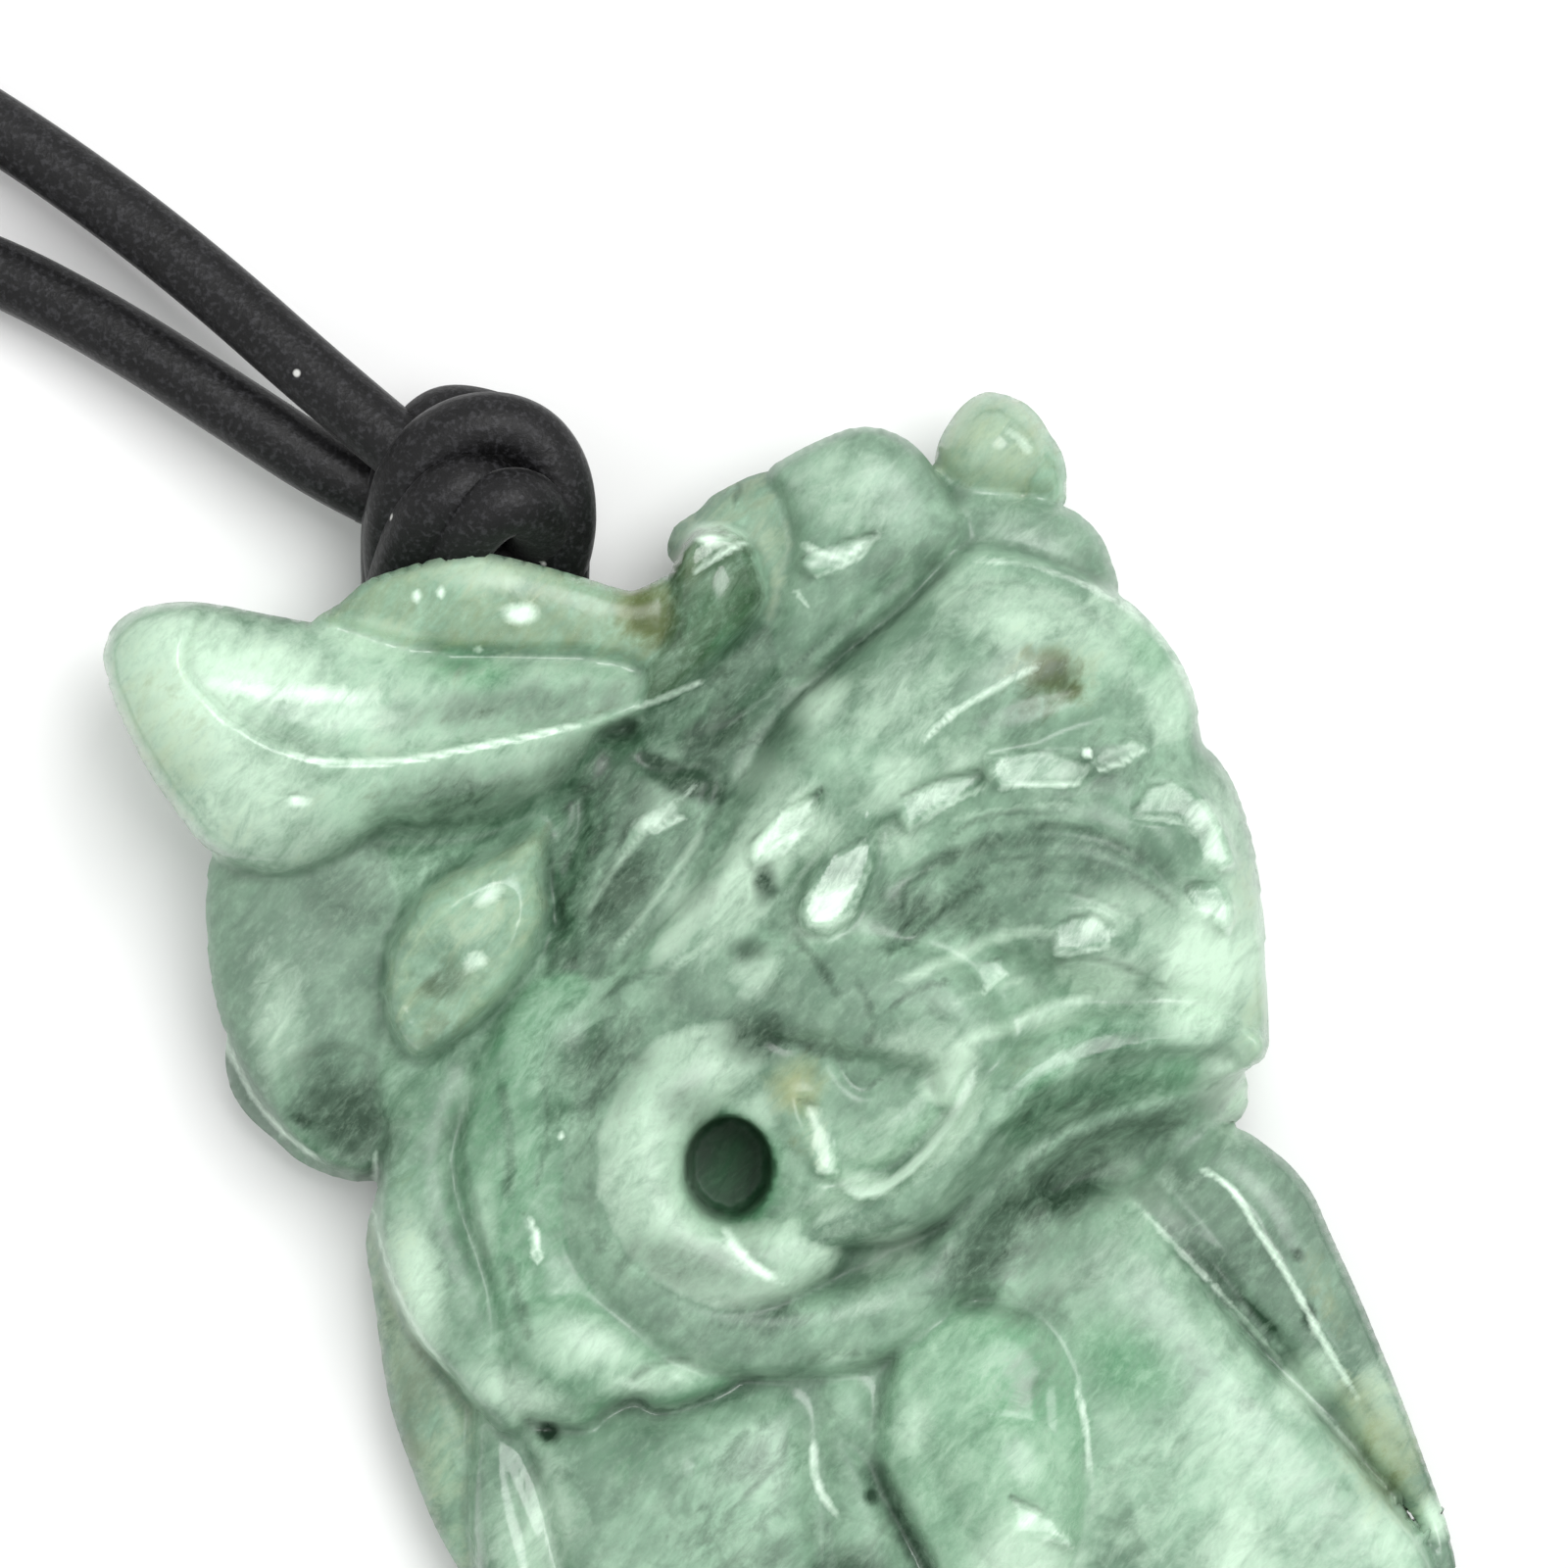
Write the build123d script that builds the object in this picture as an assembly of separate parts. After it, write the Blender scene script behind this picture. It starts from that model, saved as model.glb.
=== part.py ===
from build123d import *
from collections import namedtuple
import math
import os

# A carved jadeite dragon tooth that lies on its flat back, on a black round cord.
# X runs to the right and Y up the stone as it is seen from the front. Z is up from the surface.

# Sizes of the stone, in mm
STONE_WIDTH = 40.0
STONE_LENGTH = 60.0
STONE_THICKNESS = 12.0

# The carver's layout grid: so many squares over each size of the stone
SQUARE_COUNT = (40, 60, 12)
GRID_X = STONE_WIDTH / SQUARE_COUNT[0]
GRID_Y = STONE_LENGTH / SQUARE_COUNT[1]
GRID_Z = STONE_THICKNESS / SQUARE_COUNT[2]

# Drilled hole in the hinge of the jaw
JAW_HOLE_DIAMETER = 2.6
JAW_HOLE_FLOOR = 2.4

# Cord, its loop through the stone and its clasp
CORD_DIAMETER = 2.0
TUNNEL_CLEARANCE = 0.3
LOOP_SPACING = 4.4
LOOP_Z = 3.7
LOOP_FOOT = 19.6
LOOP_TUCK = 0.8
LOOP_RADII = [LOOP_SPACING * 0.48] * 2
CLASP_DIAMETER = 4.0
CLASP_EDGE = 0.6
CLASP_GROOVE = 0.35

Section = namedtuple("Section", "x y z half_width half_height")

# Each carved form is a row of sections along its own spine, in squares of the layout grid
SKULL = [
    Section(5.0, 24.2, 3.0, 3.0, 2.2),
    Section(4.2, 21.5, 3.2, 5.6, 3.9),
    Section(4.0, 17.5, 3.4, 7.4, 4.9),
    Section(3.8, 13.0, 3.5, 9.2, 5.2),
    Section(2.4, 8.0, 3.4, 10.0, 4.3),
    Section(1.6, 4.0, 3.2, 8.8, 3.9),
]
TOOTH = [
    Section(3.6, 7.0, 3.0, 6.0, 3.6),
    Section(5.4, 3.2, 3.1, 7.4, 4.1),
    Section(7.4, -0.8, 3.2, 8.4, 4.5),
    Section(9.4, -6.0, 3.2, 9.5, 4.7),
    Section(10.2, -13.0, 3.0, 8.6, 4.5),
    Section(9.6, -20.0, 2.7, 6.2, 4.0),
    Section(8.2, -26.0, 2.2, 3.7, 3.2),
    Section(6.9, -29.8, 1.6, 1.6, 1.9),
    Section(6.3, -31.0, 1.3, 0.5, 0.7),
]
NECK = [
    Section(-2.4, 5.0, 3.0, 6.8, 3.6),
    Section(-2.4, 0.0, 3.0, 5.8, 3.9),
    Section(-2.0, -6.0, 3.0, 5.8, 4.1),
    Section(0.4, -12.0, 2.8, 5.2, 3.8),
    Section(3.8, -17.6, 2.6, 3.6, 3.3),
    Section(6.4, -22.6, 2.4, 2.2, 2.6),
    Section(7.6, -26.4, 2.0, 0.9, 1.4),
]
NAPE = [
    Section(-6.6, 18.0, 3.2, 2.6, 3.4),
    Section(-7.0, 13.4, 3.2, 3.2, 3.8),
    Section(-8.4, 9.0, 3.2, 2.6, 3.8),
    Section(-7.8, 5.2, 3.2, 2.2, 3.8),
]
BACK_WEB = [
    Section(-9.6, 21.4, 1.9, 3.6, 2.2),
    Section(-10.6, 18.0, 2.0, 5.4, 2.8),
    Section(-11.0, 14.6, 2.0, 4.8, 3.0),
    Section(-10.8, 11.4, 2.0, 4.6, 3.0),
    Section(-10.4, 8.4, 2.0, 3.8, 2.8),
    Section(-9.6, 5.4, 2.0, 2.2, 2.4),
]
BACK_BAR = [
    Section(-14.2, 19.0, 3.6, 1.8, 3.0),
    Section(-10.0, 19.2, 3.8, 2.6, 3.9),
    Section(-5.5, 19.4, 3.8, 2.6, 3.9),
    Section(-0.5, 18.6, 3.6, 2.4, 3.9),
]
HORN = [
    Section(-4.6, 20.0, 6.0, 1.2, 2.4),
    Section(-8.0, 18.8, 6.0, 2.2, 3.2),
    Section(-11.0, 18.4, 6.0, 2.7, 3.5),
    Section(-14.0, 18.1, 5.8, 3.6, 3.7),
    Section(-16.6, 18.6, 5.6, 3.7, 3.5),
    Section(-18.7, 19.8, 5.5, 2.4, 2.6),
    Section(-19.7, 20.4, 5.4, 1.0, 1.3),
]
HORN_LEAF = [
    Section(-13.4, 21.4, 5.0, 0.7, 1.0),
    Section(-11.4, 21.4, 5.0, 1.9, 2.1),
    Section(-9.0, 21.5, 5.0, 2.2, 2.5),
    Section(-6.5, 21.4, 5.2, 1.9, 2.3),
    Section(-4.2, 21.4, 5.4, 1.4, 2.0),
    Section(-2.6, 21.0, 5.4, 0.9, 1.5),
]
CURL = [
    Section(-2.3, 24.2, 5.8, 0.7, 1.0),
    Section(-2.2, 23.0, 6.2, 1.2, 1.9),
    Section(-2.2, 21.2, 6.4, 1.4, 2.3),
    Section(-3.2, 19.4, 6.4, 1.2, 2.2),
    Section(-4.4, 18.2, 6.2, 0.8, 1.6),
]
CURL_RIM = [
    Section(-3.0, 23.4, 3.6, 0.4, 1.2),
    Section(-2.3, 24.4, 3.6, 0.8, 1.6),
    Section(-0.9, 24.8, 3.8, 1.0, 2.0),
    Section(0.6, 24.6, 4.0, 1.0, 2.2),
]
CREST = [
    Section(2.3, 26.8, 4.4, 1.2, 1.6),
    Section(2.1, 25.6, 4.6, 2.4, 2.9),
    Section(1.8, 23.6, 4.8, 2.7, 3.5),
    Section(1.4, 21.6, 5.0, 2.4, 3.6),
    Section(0.6, 19.6, 5.0, 1.6, 3.0),
]
CREST_RIDGE = [
    Section(4.4, 25.2, 4.2, 1.1, 1.9),
    Section(6.2, 24.8, 4.4, 1.3, 2.4),
    Section(8.0, 23.9, 4.4, 1.4, 2.6),
    Section(9.2, 22.7, 4.4, 0.9, 2.0),
]
BROW = [
    Section(11.3, 20.4, 4.8, 1.1, 2.2),
    Section(9.8, 20.8, 5.3, 2.1, 3.8),
    Section(8.0, 20.2, 5.7, 3.0, 4.6),
    Section(5.2, 18.8, 5.9, 3.6, 5.1),
    Section(2.2, 16.9, 5.9, 2.9, 4.8),
    Section(-0.8, 14.8, 5.7, 1.9, 4.2),
    Section(-4.0, 12.3, 5.3, 1.2, 3.4),
    Section(-6.4, 10.6, 5.0, 0.7, 2.4),
]
SNOUT = [
    Section(10.0, 19.4, 5.0, 1.9, 3.2),
    Section(9.6, 17.2, 5.8, 3.3, 5.0),
    Section(9.2, 14.2, 6.2, 4.5, 5.7),
    Section(9.2, 11.6, 6.2, 4.6, 5.6),
    Section(9.5, 9.4, 6.0, 4.1, 4.6),
    Section(9.8, 8.2, 5.8, 2.8, 3.0),
]
CHEEK = [
    Section(-2.6, 10.9, 5.2, 1.2, 3.6),
    Section(0.8, 11.4, 5.4, 2.0, 4.6),
    Section(4.4, 10.8, 5.6, 2.3, 5.0),
    Section(6.4, 10.4, 5.6, 1.6, 4.6),
]
EYE = [
    Section(2.3, 15.8, 8.4, 0.4, 1.0),
    Section(1.6, 14.6, 8.6, 0.8, 1.9),
    Section(1.0, 13.3, 8.6, 0.9, 1.9),
    Section(0.7, 12.5, 8.4, 0.4, 1.0),
]
UPPER_LIP = [
    Section(13.1, 9.8, 6.4, 0.7, 1.8),
    Section(10.8, 9.7, 6.8, 1.2, 2.8),
    Section(8.4, 9.1, 6.9, 1.4, 3.3),
    Section(6.3, 7.7, 6.8, 1.3, 3.3),
    Section(5.0, 6.1, 6.6, 1.2, 3.1),
    Section(3.5, 4.9, 6.4, 1.2, 2.9),
    Section(1.7, 4.2, 6.2, 1.1, 2.6),
    Section(0.2, 3.5, 5.9, 0.8, 2.2),
]
FANG = [
    Section(-0.4, 9.7, 7.0, 0.9, 2.0),
    Section(0.1, 8.3, 7.1, 0.9, 2.2),
    Section(0.7, 6.8, 7.0, 0.6, 1.9),
    Section(1.1, 5.6, 6.8, 0.3, 1.3),
]
JAW = [
    Section(-4.4, 9.9, 4.9, 0.8, 2.6),
    Section(-5.5, 7.4, 5.0, 1.1, 3.0),
    Section(-5.5, 4.6, 5.0, 1.2, 3.1),
    Section(-4.4, 2.4, 5.0, 1.3, 3.1),
    Section(-2.2, 1.1, 5.0, 1.3, 3.1),
    Section(0.3, 1.0, 5.0, 1.3, 3.1),
    Section(2.7, 2.0, 5.0, 1.3, 3.0),
    Section(4.8, 3.4, 4.8, 1.1, 2.7),
    Section(6.4, 4.8, 4.4, 0.7, 2.2),
]
MANE_OUTER = [
    Section(-9.9, 8.2, 4.2, 0.6, 1.8),
    Section(-10.5, 5.7, 4.2, 1.3, 2.8),
    Section(-10.2, 2.6, 4.2, 1.5, 3.1),
    Section(-8.9, -0.4, 4.2, 1.4, 3.0),
    Section(-8.0, -4.0, 4.0, 1.2, 2.6),
    Section(-7.4, -7.6, 3.6, 0.8, 1.6),
]
MANE_INNER = [
    Section(-7.6, 9.6, 4.4, 0.8, 2.4),
    Section(-8.3, 7.0, 4.5, 1.3, 3.0),
    Section(-8.0, 4.2, 4.6, 1.5, 3.1),
    Section(-6.8, 1.8, 4.6, 1.5, 3.1),
    Section(-5.0, 0.2, 4.6, 1.4, 3.1),
    Section(-2.9, -0.7, 4.4, 0.7, 2.4),
]
MANE_BACK_LEAF = [
    Section(-11.5, 5.0, 2.4, 0.5, 1.0),
    Section(-11.2, 1.8, 2.4, 1.0, 1.4),
    Section(-10.6, -1.6, 2.4, 1.1, 1.5),
    Section(-9.6, -4.4, 2.4, 0.9, 1.4),
    Section(-8.6, -6.4, 2.4, 0.5, 1.0),
]
BULB = [
    Section(-14.2, 15.8, 3.8, 2.2, 2.3),
    Section(-13.7, 13.2, 3.8, 3.2, 3.1),
    Section(-13.5, 10.6, 3.7, 3.2, 3.0),
    Section(-13.2, 8.0, 3.6, 2.4, 2.5),
    Section(-12.7, 6.1, 3.5, 0.9, 1.3),
]
BULB_RIM = [
    Section(-16.0, 10.0, 2.0, 0.5, 0.8),
    Section(-15.6, 8.0, 2.0, 0.8, 1.1),
    Section(-14.4, 6.5, 2.0, 0.9, 1.1),
    Section(-12.4, 5.9, 2.0, 0.7, 1.0),
]
EAR = [
    Section(-7.2, 15.3, 6.0, 0.5, 1.2),
    Section(-8.4, 13.8, 6.1, 1.5, 2.3),
    Section(-9.4, 12.1, 6.1, 1.9, 2.6),
    Section(-10.2, 10.4, 6.0, 1.5, 2.3),
    Section(-10.7, 9.4, 5.8, 0.6, 1.3),
]
BEARD = [
    Section(5.0, 1.6, 5.4, 1.0, 2.0),
    Section(5.6, -0.2, 5.7, 2.3, 2.9),
    Section(6.2, -3.0, 5.8, 2.5, 3.2),
    Section(6.4, -6.2, 5.6, 2.1, 3.0),
    Section(6.2, -9.4, 5.2, 1.4, 2.6),
    Section(5.6, -12.0, 4.8, 0.6, 2.0),
]
BEARD_FOLD = [
    Section(1.6, 0.0, 5.0, 0.6, 2.0),
    Section(1.4, -2.2, 5.1, 1.2, 2.8),
    Section(1.7, -5.0, 5.1, 1.1, 2.8),
    Section(2.6, -8.6, 4.8, 0.5, 2.2),
]
FIN = [
    Section(12.2, 6.6, 3.6, 0.8, 1.6),
    Section(13.6, 4.4, 3.9, 1.7, 2.4),
    Section(15.0, 1.8, 3.9, 1.8, 2.5),
    Section(16.5, -0.9, 3.8, 1.4, 2.3),
    Section(17.9, -3.6, 3.7, 1.0, 1.9),
    Section(19.2, -5.8, 3.6, 0.4, 1.1),
]
CARVED_FORMS = [
    SKULL, TOOTH, NECK, NAPE, BACK_WEB, BACK_BAR, MANE_OUTER, MANE_INNER, MANE_BACK_LEAF, BULB, BULB_RIM,
    EAR, BEARD, BEARD_FOLD, FIN, HORN, HORN_LEAF, CURL, CURL_RIM, CREST, CREST_RIDGE, BROW,
    SNOUT, CHEEK, EYE,
]
MOUTH_FORMS = [UPPER_LIP, FANG, JAW]

# Round bumps: the two balls of the crest and the far corner of the mouth
Bump = namedtuple("Bump", "x y z radius")
BUMPS = [
    Bump(6.1, 26.75, 4.4, 1.6),
    Bump(7.6, 25.9, 4.2, 0.95),
    Bump(12.3, 7.8, 3.4, 1.15),
]

# The jaw hinge: a raised ring round the drilled hole, as a centre, a radius and angles in degrees
JAW_HINGE = (-1.7, 5.8)
HINGE_RADIUS = 3.1
HINGE_HALF_WIDTH = 1.15
HINGE_Z = 5.8
HINGE_HALF_HEIGHT = 3.1
HINGE_START = -40.0
HINGE_SWEEP = -220.0
HINGE_SECTIONS = 8

# Routes of the cord, point by point, on the surface or coming down to it from the knot
OUTER_ROUTE = [
    (-11.2, 26.7, 5.0), (-13.5, 28.6, 4.5), (-17.2, 31.9, 3.5), (-21.1, 34.9, 2.6),
    (-25.6, 37.8, 1.7), (-30.2, 39.4, 1.02), (-34.8, 38.0, 1.02), (-37.8, 33.6, 1.02),
    (-38.9, 26.6, 1.02), (-38.3, 17.0, 1.02), (-39.2, 5.0, 1.02), (-38.6, -8.0, 1.02),
    (-36.0, -19.5, 1.02), (-30.4, -28.4, 1.02), (-22.2, -34.2, 1.02), (-11.5, -36.8, 1.02),
    (1.0, -36.2, 1.02), (12.3, -36.9, 1.02), (21.2, -33.4, 1.02), (27.2, -25.4, 1.02),
    (29.5, -14.0, 1.02), (28.8, 0.0, 1.02), (29.7, 14.0, 1.02), (29.2, 28.0, 1.02),
    (29.0, 39.0, 1.02), (28.3, 47.4, 1.5), (23.2, 53.2, 2.0), (15.8, 53.2, 2.0),
]
INNER_ROUTE = [
    (-11.4, 25.2, 3.2), (-13.2, 26.0, 3.2), (-16.4, 28.1, 3.0), (-20.0, 30.4, 2.3),
    (-23.6, 32.3, 1.6), (-27.4, 33.4, 1.02), (-31.2, 32.0, 1.02), (-33.6, 27.4, 1.02),
    (-34.4, 19.5, 1.02), (-33.9, 9.5, 1.02), (-34.7, -2.5, 1.02), (-33.0, -13.5, 1.02),
    (-28.6, -22.8, 1.02), (-21.2, -29.4, 1.02), (-11.5, -33.0, 1.02), (0.5, -33.4, 1.02),
    (10.8, -33.0, 1.02), (18.7, -28.8, 1.02), (23.4, -21.4, 1.02), (25.3, -11.0, 1.02),
    (24.9, 1.5, 1.02), (25.5, 14.5, 1.02), (25.4, 27.0, 1.02), (26.0, 38.2, 1.02),
    (23.6, 45.0, 1.02), (15.8, 45.8, 1.02), (7.6, 43.8, 1.02), (-0.4, 44.8, 1.02),
    (-6.8, 43.4, 1.02), (-12.5, 43.7, 1.02), (-15.4, 46.5, 1.02), (-15.4, 50.4, 1.02),
    (-12.6, 53.2, 1.4), (-4.6, 53.2, 2.0), (5.0, 53.2, 2.0),
]
SHARE_OF_RUN = 0.45

# The knot: a core, and the turns of cord round it
KNOT_CORE = (-9.0, 26.0, 4.0)
KNOT_CORE_RADIUS = 2.2
KNOT_TURNS = [
    [(-11.4, 24.2, 3.2), (-11.3, 26.3, 3.1), (-10.2, 27.6, 3.4), (-8.2, 27.6, 4.0),
     (-6.7, 26.2, 4.4), (-6.7, 24.2, 4.0)],
    [(-11.0, 24.3, 5.0), (-10.3, 25.2, 5.6), (-9.1, 26.1, 5.8), (-8.0, 26.4, 4.8)],
    [(-9.5, 24.5, 5.4), (-8.9, 25.1, 5.9), (-7.9, 25.4, 5.7), (-7.1, 25.1, 4.8)],
]


def placed(section):
    return Vector(section.x * GRID_X, section.y * GRID_Y, section.z * GRID_Z)


def carved_form(sections):
    """A loft of ellipses, each one upright and square to the spine."""
    middles = [placed(s) for s in sections]
    faces = []
    for i, s in enumerate(sections):
        along = middles[min(i + 1, len(middles) - 1)] - middles[max(i - 1, 0)]
        level = Vector(along.X, along.Y, 0).normalized()
        across = Vector(level.Y, -level.X, 0)
        plane = Plane(origin=middles[i], x_dir=across, z_dir=level)
        faces.append(plane * Ellipse(s.half_width * GRID_X, s.half_height * GRID_Z))
    return loft(faces)


def jaw_hinge():
    """The ring round the drilled hole, open towards the mouth."""
    ring = []
    for i in range(HINGE_SECTIONS):
        turn = math.radians(HINGE_START + HINGE_SWEEP * i / (HINGE_SECTIONS - 1))
        ring.append(
            Section(
                JAW_HINGE[0] + HINGE_RADIUS * math.cos(turn),
                JAW_HINGE[1] + HINGE_RADIUS * math.sin(turn),
                HINGE_Z,
                HINGE_HALF_WIDTH,
                HINGE_HALF_HEIGHT,
            )
        )
    return carved_form(ring)


def arc_radii(points):
    """As large an arc at each corner as its two runs allow."""
    corners = [Vector(*p) for p in points]
    radii = []
    for before, here, after in zip(corners, corners[1:], corners[2:]):
        run_in = here - before
        run_out = after - here
        half_turn = math.radians(run_in.get_angle(run_out)) / 2
        radii.append(SHARE_OF_RUN * min(run_in.length, run_out.length) / math.tan(half_turn))
    return radii


def tube(points, diameter, radii=None):
    """A round tube along straight runs that tangent arcs join."""
    path = FilletPolyline(*points, radius=radii or arc_radii(points))
    return sweep(Plane(origin=path @ 0, z_dir=path % 0) * Circle(diameter / 2), path=path), path


def loop_points():
    """The cord's way down into the stone, across and up again."""
    left = KNOT_CORE[0] - LOOP_SPACING / 2
    right = KNOT_CORE[0] + LOOP_SPACING / 2
    low = LOOP_FOOT * GRID_Y
    high = KNOT_CORE[1] - LOOP_TUCK
    level = LOOP_Z
    return [(left, high, level), (left, low, level), (right, low, level), (right, high, level)]


def carved_stone():
    """All the carved forms as one solid, flat where it lies, with its holes drilled."""
    stone = carved_form(CARVED_FORMS[0])
    for sections in CARVED_FORMS[1:]:
        stone += carved_form(sections)
    for b in BUMPS:
        stone += Pos(b.x * GRID_X, b.y * GRID_Y, b.z * GRID_Z) * Sphere(b.radius * GRID_X)
    stone += jaw_hinge()
    for sections in MOUTH_FORMS:
        stone += carved_form(sections)
    above = STONE_WIDTH + STONE_LENGTH + STONE_THICKNESS
    stone &= Box(2 * above, 2 * above, above, align=(Align.CENTER, Align.CENTER, Align.MIN))
    hole_mouth = Pos(JAW_HINGE[0] * GRID_X, JAW_HINGE[1] * GRID_Y, STONE_THICKNESS)
    to_floor_of_hole = STONE_THICKNESS - JAW_HOLE_FLOOR
    stone -= hole_mouth * Cylinder(
        JAW_HOLE_DIAMETER / 2, to_floor_of_hole, align=(Align.CENTER, Align.CENTER, Align.MAX)
    )
    tunnel, _ = tube(loop_points(), CORD_DIAMETER + 2 * TUNNEL_CLEARANCE, LOOP_RADII)
    return stone - tunnel


def knot():
    """The core of the knot with the turns that show on it."""
    solid = Pos(*KNOT_CORE) * Sphere(KNOT_CORE_RADIUS)
    for turn in KNOT_TURNS:
        solid += tube(turn, CORD_DIAMETER)[0]
    return solid


def clasp():
    """A plain barrel between the two ends of the cord, with a groove near each mouth."""
    near = Vector(*OUTER_ROUTE[-1])
    far = Vector(*INNER_ROUTE[-1])
    along = (far - near).normalized()
    middle = Plane(origin=(near + far) / 2, z_dir=along)
    length = (far - near).length
    barrel = Cylinder(CLASP_DIAMETER / 2, length)
    barrel = chamfer(barrel.edges().filter_by(GeomType.CIRCLE), CLASP_EDGE)
    neck = Cylinder(CLASP_DIAMETER / 2 - CLASP_GROOVE, CLASP_GROOVE)
    ring = Cylinder(CLASP_DIAMETER, CLASP_GROOVE) - neck
    for side in (-1, 1):
        barrel -= Pos(0, 0, side * length / 4) * ring
    return middle * barrel


def main():
    os.makedirs("parts", exist_ok=True)
    stone = carved_stone()
    cord_knot = knot()
    stone_loop = tube(loop_points(), CORD_DIAMETER, LOOP_RADII)[0] - cord_knot
    on_the_way = cord_knot + stone_loop
    strands = {}
    for name, route in (("cord_outer", OUTER_ROUTE), ("cord_inner", INNER_ROUTE)):
        strand, path = tube(route, CORD_DIAMETER)
        strands[name] = strand - on_the_way
        radii = " ".join(f"{r:.1f}" for r in arc_radii(route))
        swept = path.length * math.pi * CORD_DIAMETER**2 / 4
        print(f"{name}: {path.length:.0f} long, radii {radii}")
        print(f"{name}: volume {strand.volume:.0f}, its section times its length {swept:.0f}")
    box = stone.bounding_box()
    to_origin = Pos(-box.center().X, -box.center().Y, 0)
    print(f"moved to the origin by {-box.center().X:.3f}, {-box.center().Y:.3f}")
    nodes = {
        "dragon_stone": stone,
        "stone_loop": stone_loop,
        "cord_knot": cord_knot,
        "clasp": clasp(),
        **strands,
    }
    for name, shape in nodes.items():
        export_step(to_origin * shape, f"parts/{name}.step")


main()
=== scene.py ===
import math

import bpy
import numpy as np
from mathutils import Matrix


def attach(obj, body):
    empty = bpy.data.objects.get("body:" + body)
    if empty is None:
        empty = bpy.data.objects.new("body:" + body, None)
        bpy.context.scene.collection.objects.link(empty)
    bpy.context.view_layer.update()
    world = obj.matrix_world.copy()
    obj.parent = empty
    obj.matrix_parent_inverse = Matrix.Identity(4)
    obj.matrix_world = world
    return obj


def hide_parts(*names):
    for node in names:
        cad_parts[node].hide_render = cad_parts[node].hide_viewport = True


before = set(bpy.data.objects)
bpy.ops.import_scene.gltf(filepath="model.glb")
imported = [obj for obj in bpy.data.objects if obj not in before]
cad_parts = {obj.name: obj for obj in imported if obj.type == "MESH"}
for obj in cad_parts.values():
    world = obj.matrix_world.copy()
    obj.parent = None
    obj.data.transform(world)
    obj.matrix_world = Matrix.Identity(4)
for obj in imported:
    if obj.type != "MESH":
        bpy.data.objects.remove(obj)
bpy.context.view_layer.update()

bl_info = {
    "name": "Carved tooth pendant",
    "version": (1, 0, 0),
    "blender": (4, 5, 0),
    "location": "View3D > Sidebar > Pendant",
    "description": "Builds a carved jadeite tooth on a round rubber cord",
    "category": "Add Mesh",
}

MM = 0.001
# Real lengths of the two strands and thickness of the cord, in metres
OUTER_LENGTH = 0.248
INNER_LENGTH = 0.269
CORD_DIAMETER = 0.002
# Where the camera looks, in millimetres on the layout grid, and the height at which its view has its width
MIDDLE_OF_VIEW = (-0.143, 17.0, 0.0)
LEVEL_OF_VIEW = 0.005
CAMERA_SENSOR = 36.0
# Half of the floor's side, in metres, and the strength of the white light from all around
FLOOR_HALF = 1.5
ROOM_LIGHT = 0.78
# Soft lamps: name, place from the middle of the view and side in metres, power in watts
SOFTBOXES = (
    ("key_softbox", (0.10, 0.12, 0.40), 0.26, 1.35),
    ("fill_softbox", (-0.30, -0.10, 0.40), 0.30, 0.1),
)
# The middle of the stone's box on the carver's layout grid, which is in millimetres
MIDDLE_OF_STONE = (-0.335, -1.437)

# Routes of the two strands, point by point, as the solids have them
OUTER_ROUTE = [
    (-11.2, 26.7, 5.0), (-13.5, 28.6, 4.5), (-17.2, 31.9, 3.5), (-21.1, 34.9, 2.6),
    (-25.6, 37.8, 1.7), (-30.2, 39.4, 1.02), (-34.8, 38.0, 1.02), (-37.8, 33.6, 1.02),
    (-38.9, 26.6, 1.02), (-38.3, 17.0, 1.02), (-39.2, 5.0, 1.02), (-38.6, -8.0, 1.02),
    (-36.0, -19.5, 1.02), (-30.4, -28.4, 1.02), (-22.2, -34.2, 1.02), (-11.5, -36.8, 1.02),
    (1.0, -36.2, 1.02), (12.3, -36.9, 1.02), (21.2, -33.4, 1.02), (27.2, -25.4, 1.02),
    (29.5, -14.0, 1.02), (28.8, 0.0, 1.02), (29.7, 14.0, 1.02), (29.2, 28.0, 1.02),
    (29.0, 39.0, 1.02), (28.3, 47.4, 1.5), (23.2, 53.2, 2.0), (15.8, 53.2, 2.0),
]
INNER_ROUTE = [
    (-11.4, 25.2, 3.2), (-13.2, 26.0, 3.2), (-16.4, 28.1, 3.0), (-20.0, 30.4, 2.3),
    (-23.6, 32.3, 1.6), (-27.4, 33.4, 1.02), (-31.2, 32.0, 1.02), (-33.6, 27.4, 1.02),
    (-34.4, 19.5, 1.02), (-33.9, 9.5, 1.02), (-34.7, -2.5, 1.02), (-33.0, -13.5, 1.02),
    (-28.6, -22.8, 1.02), (-21.2, -29.4, 1.02), (-11.5, -33.0, 1.02), (0.5, -33.4, 1.02),
    (10.8, -33.0, 1.02), (18.7, -28.8, 1.02), (23.4, -21.4, 1.02), (25.3, -11.0, 1.02),
    (24.9, 1.5, 1.02), (25.5, 14.5, 1.02), (25.4, 27.0, 1.02), (26.0, 38.2, 1.02),
    (23.6, 45.0, 1.02), (15.8, 45.8, 1.02), (7.6, 43.8, 1.02), (-0.4, 44.8, 1.02),
    (-6.8, 43.4, 1.02), (-12.5, 43.7, 1.02), (-15.4, 46.5, 1.02), (-15.4, 50.4, 1.02),
    (-12.6, 53.2, 1.4), (-4.6, 53.2, 2.0), (5.0, 53.2, 2.0),
]

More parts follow.
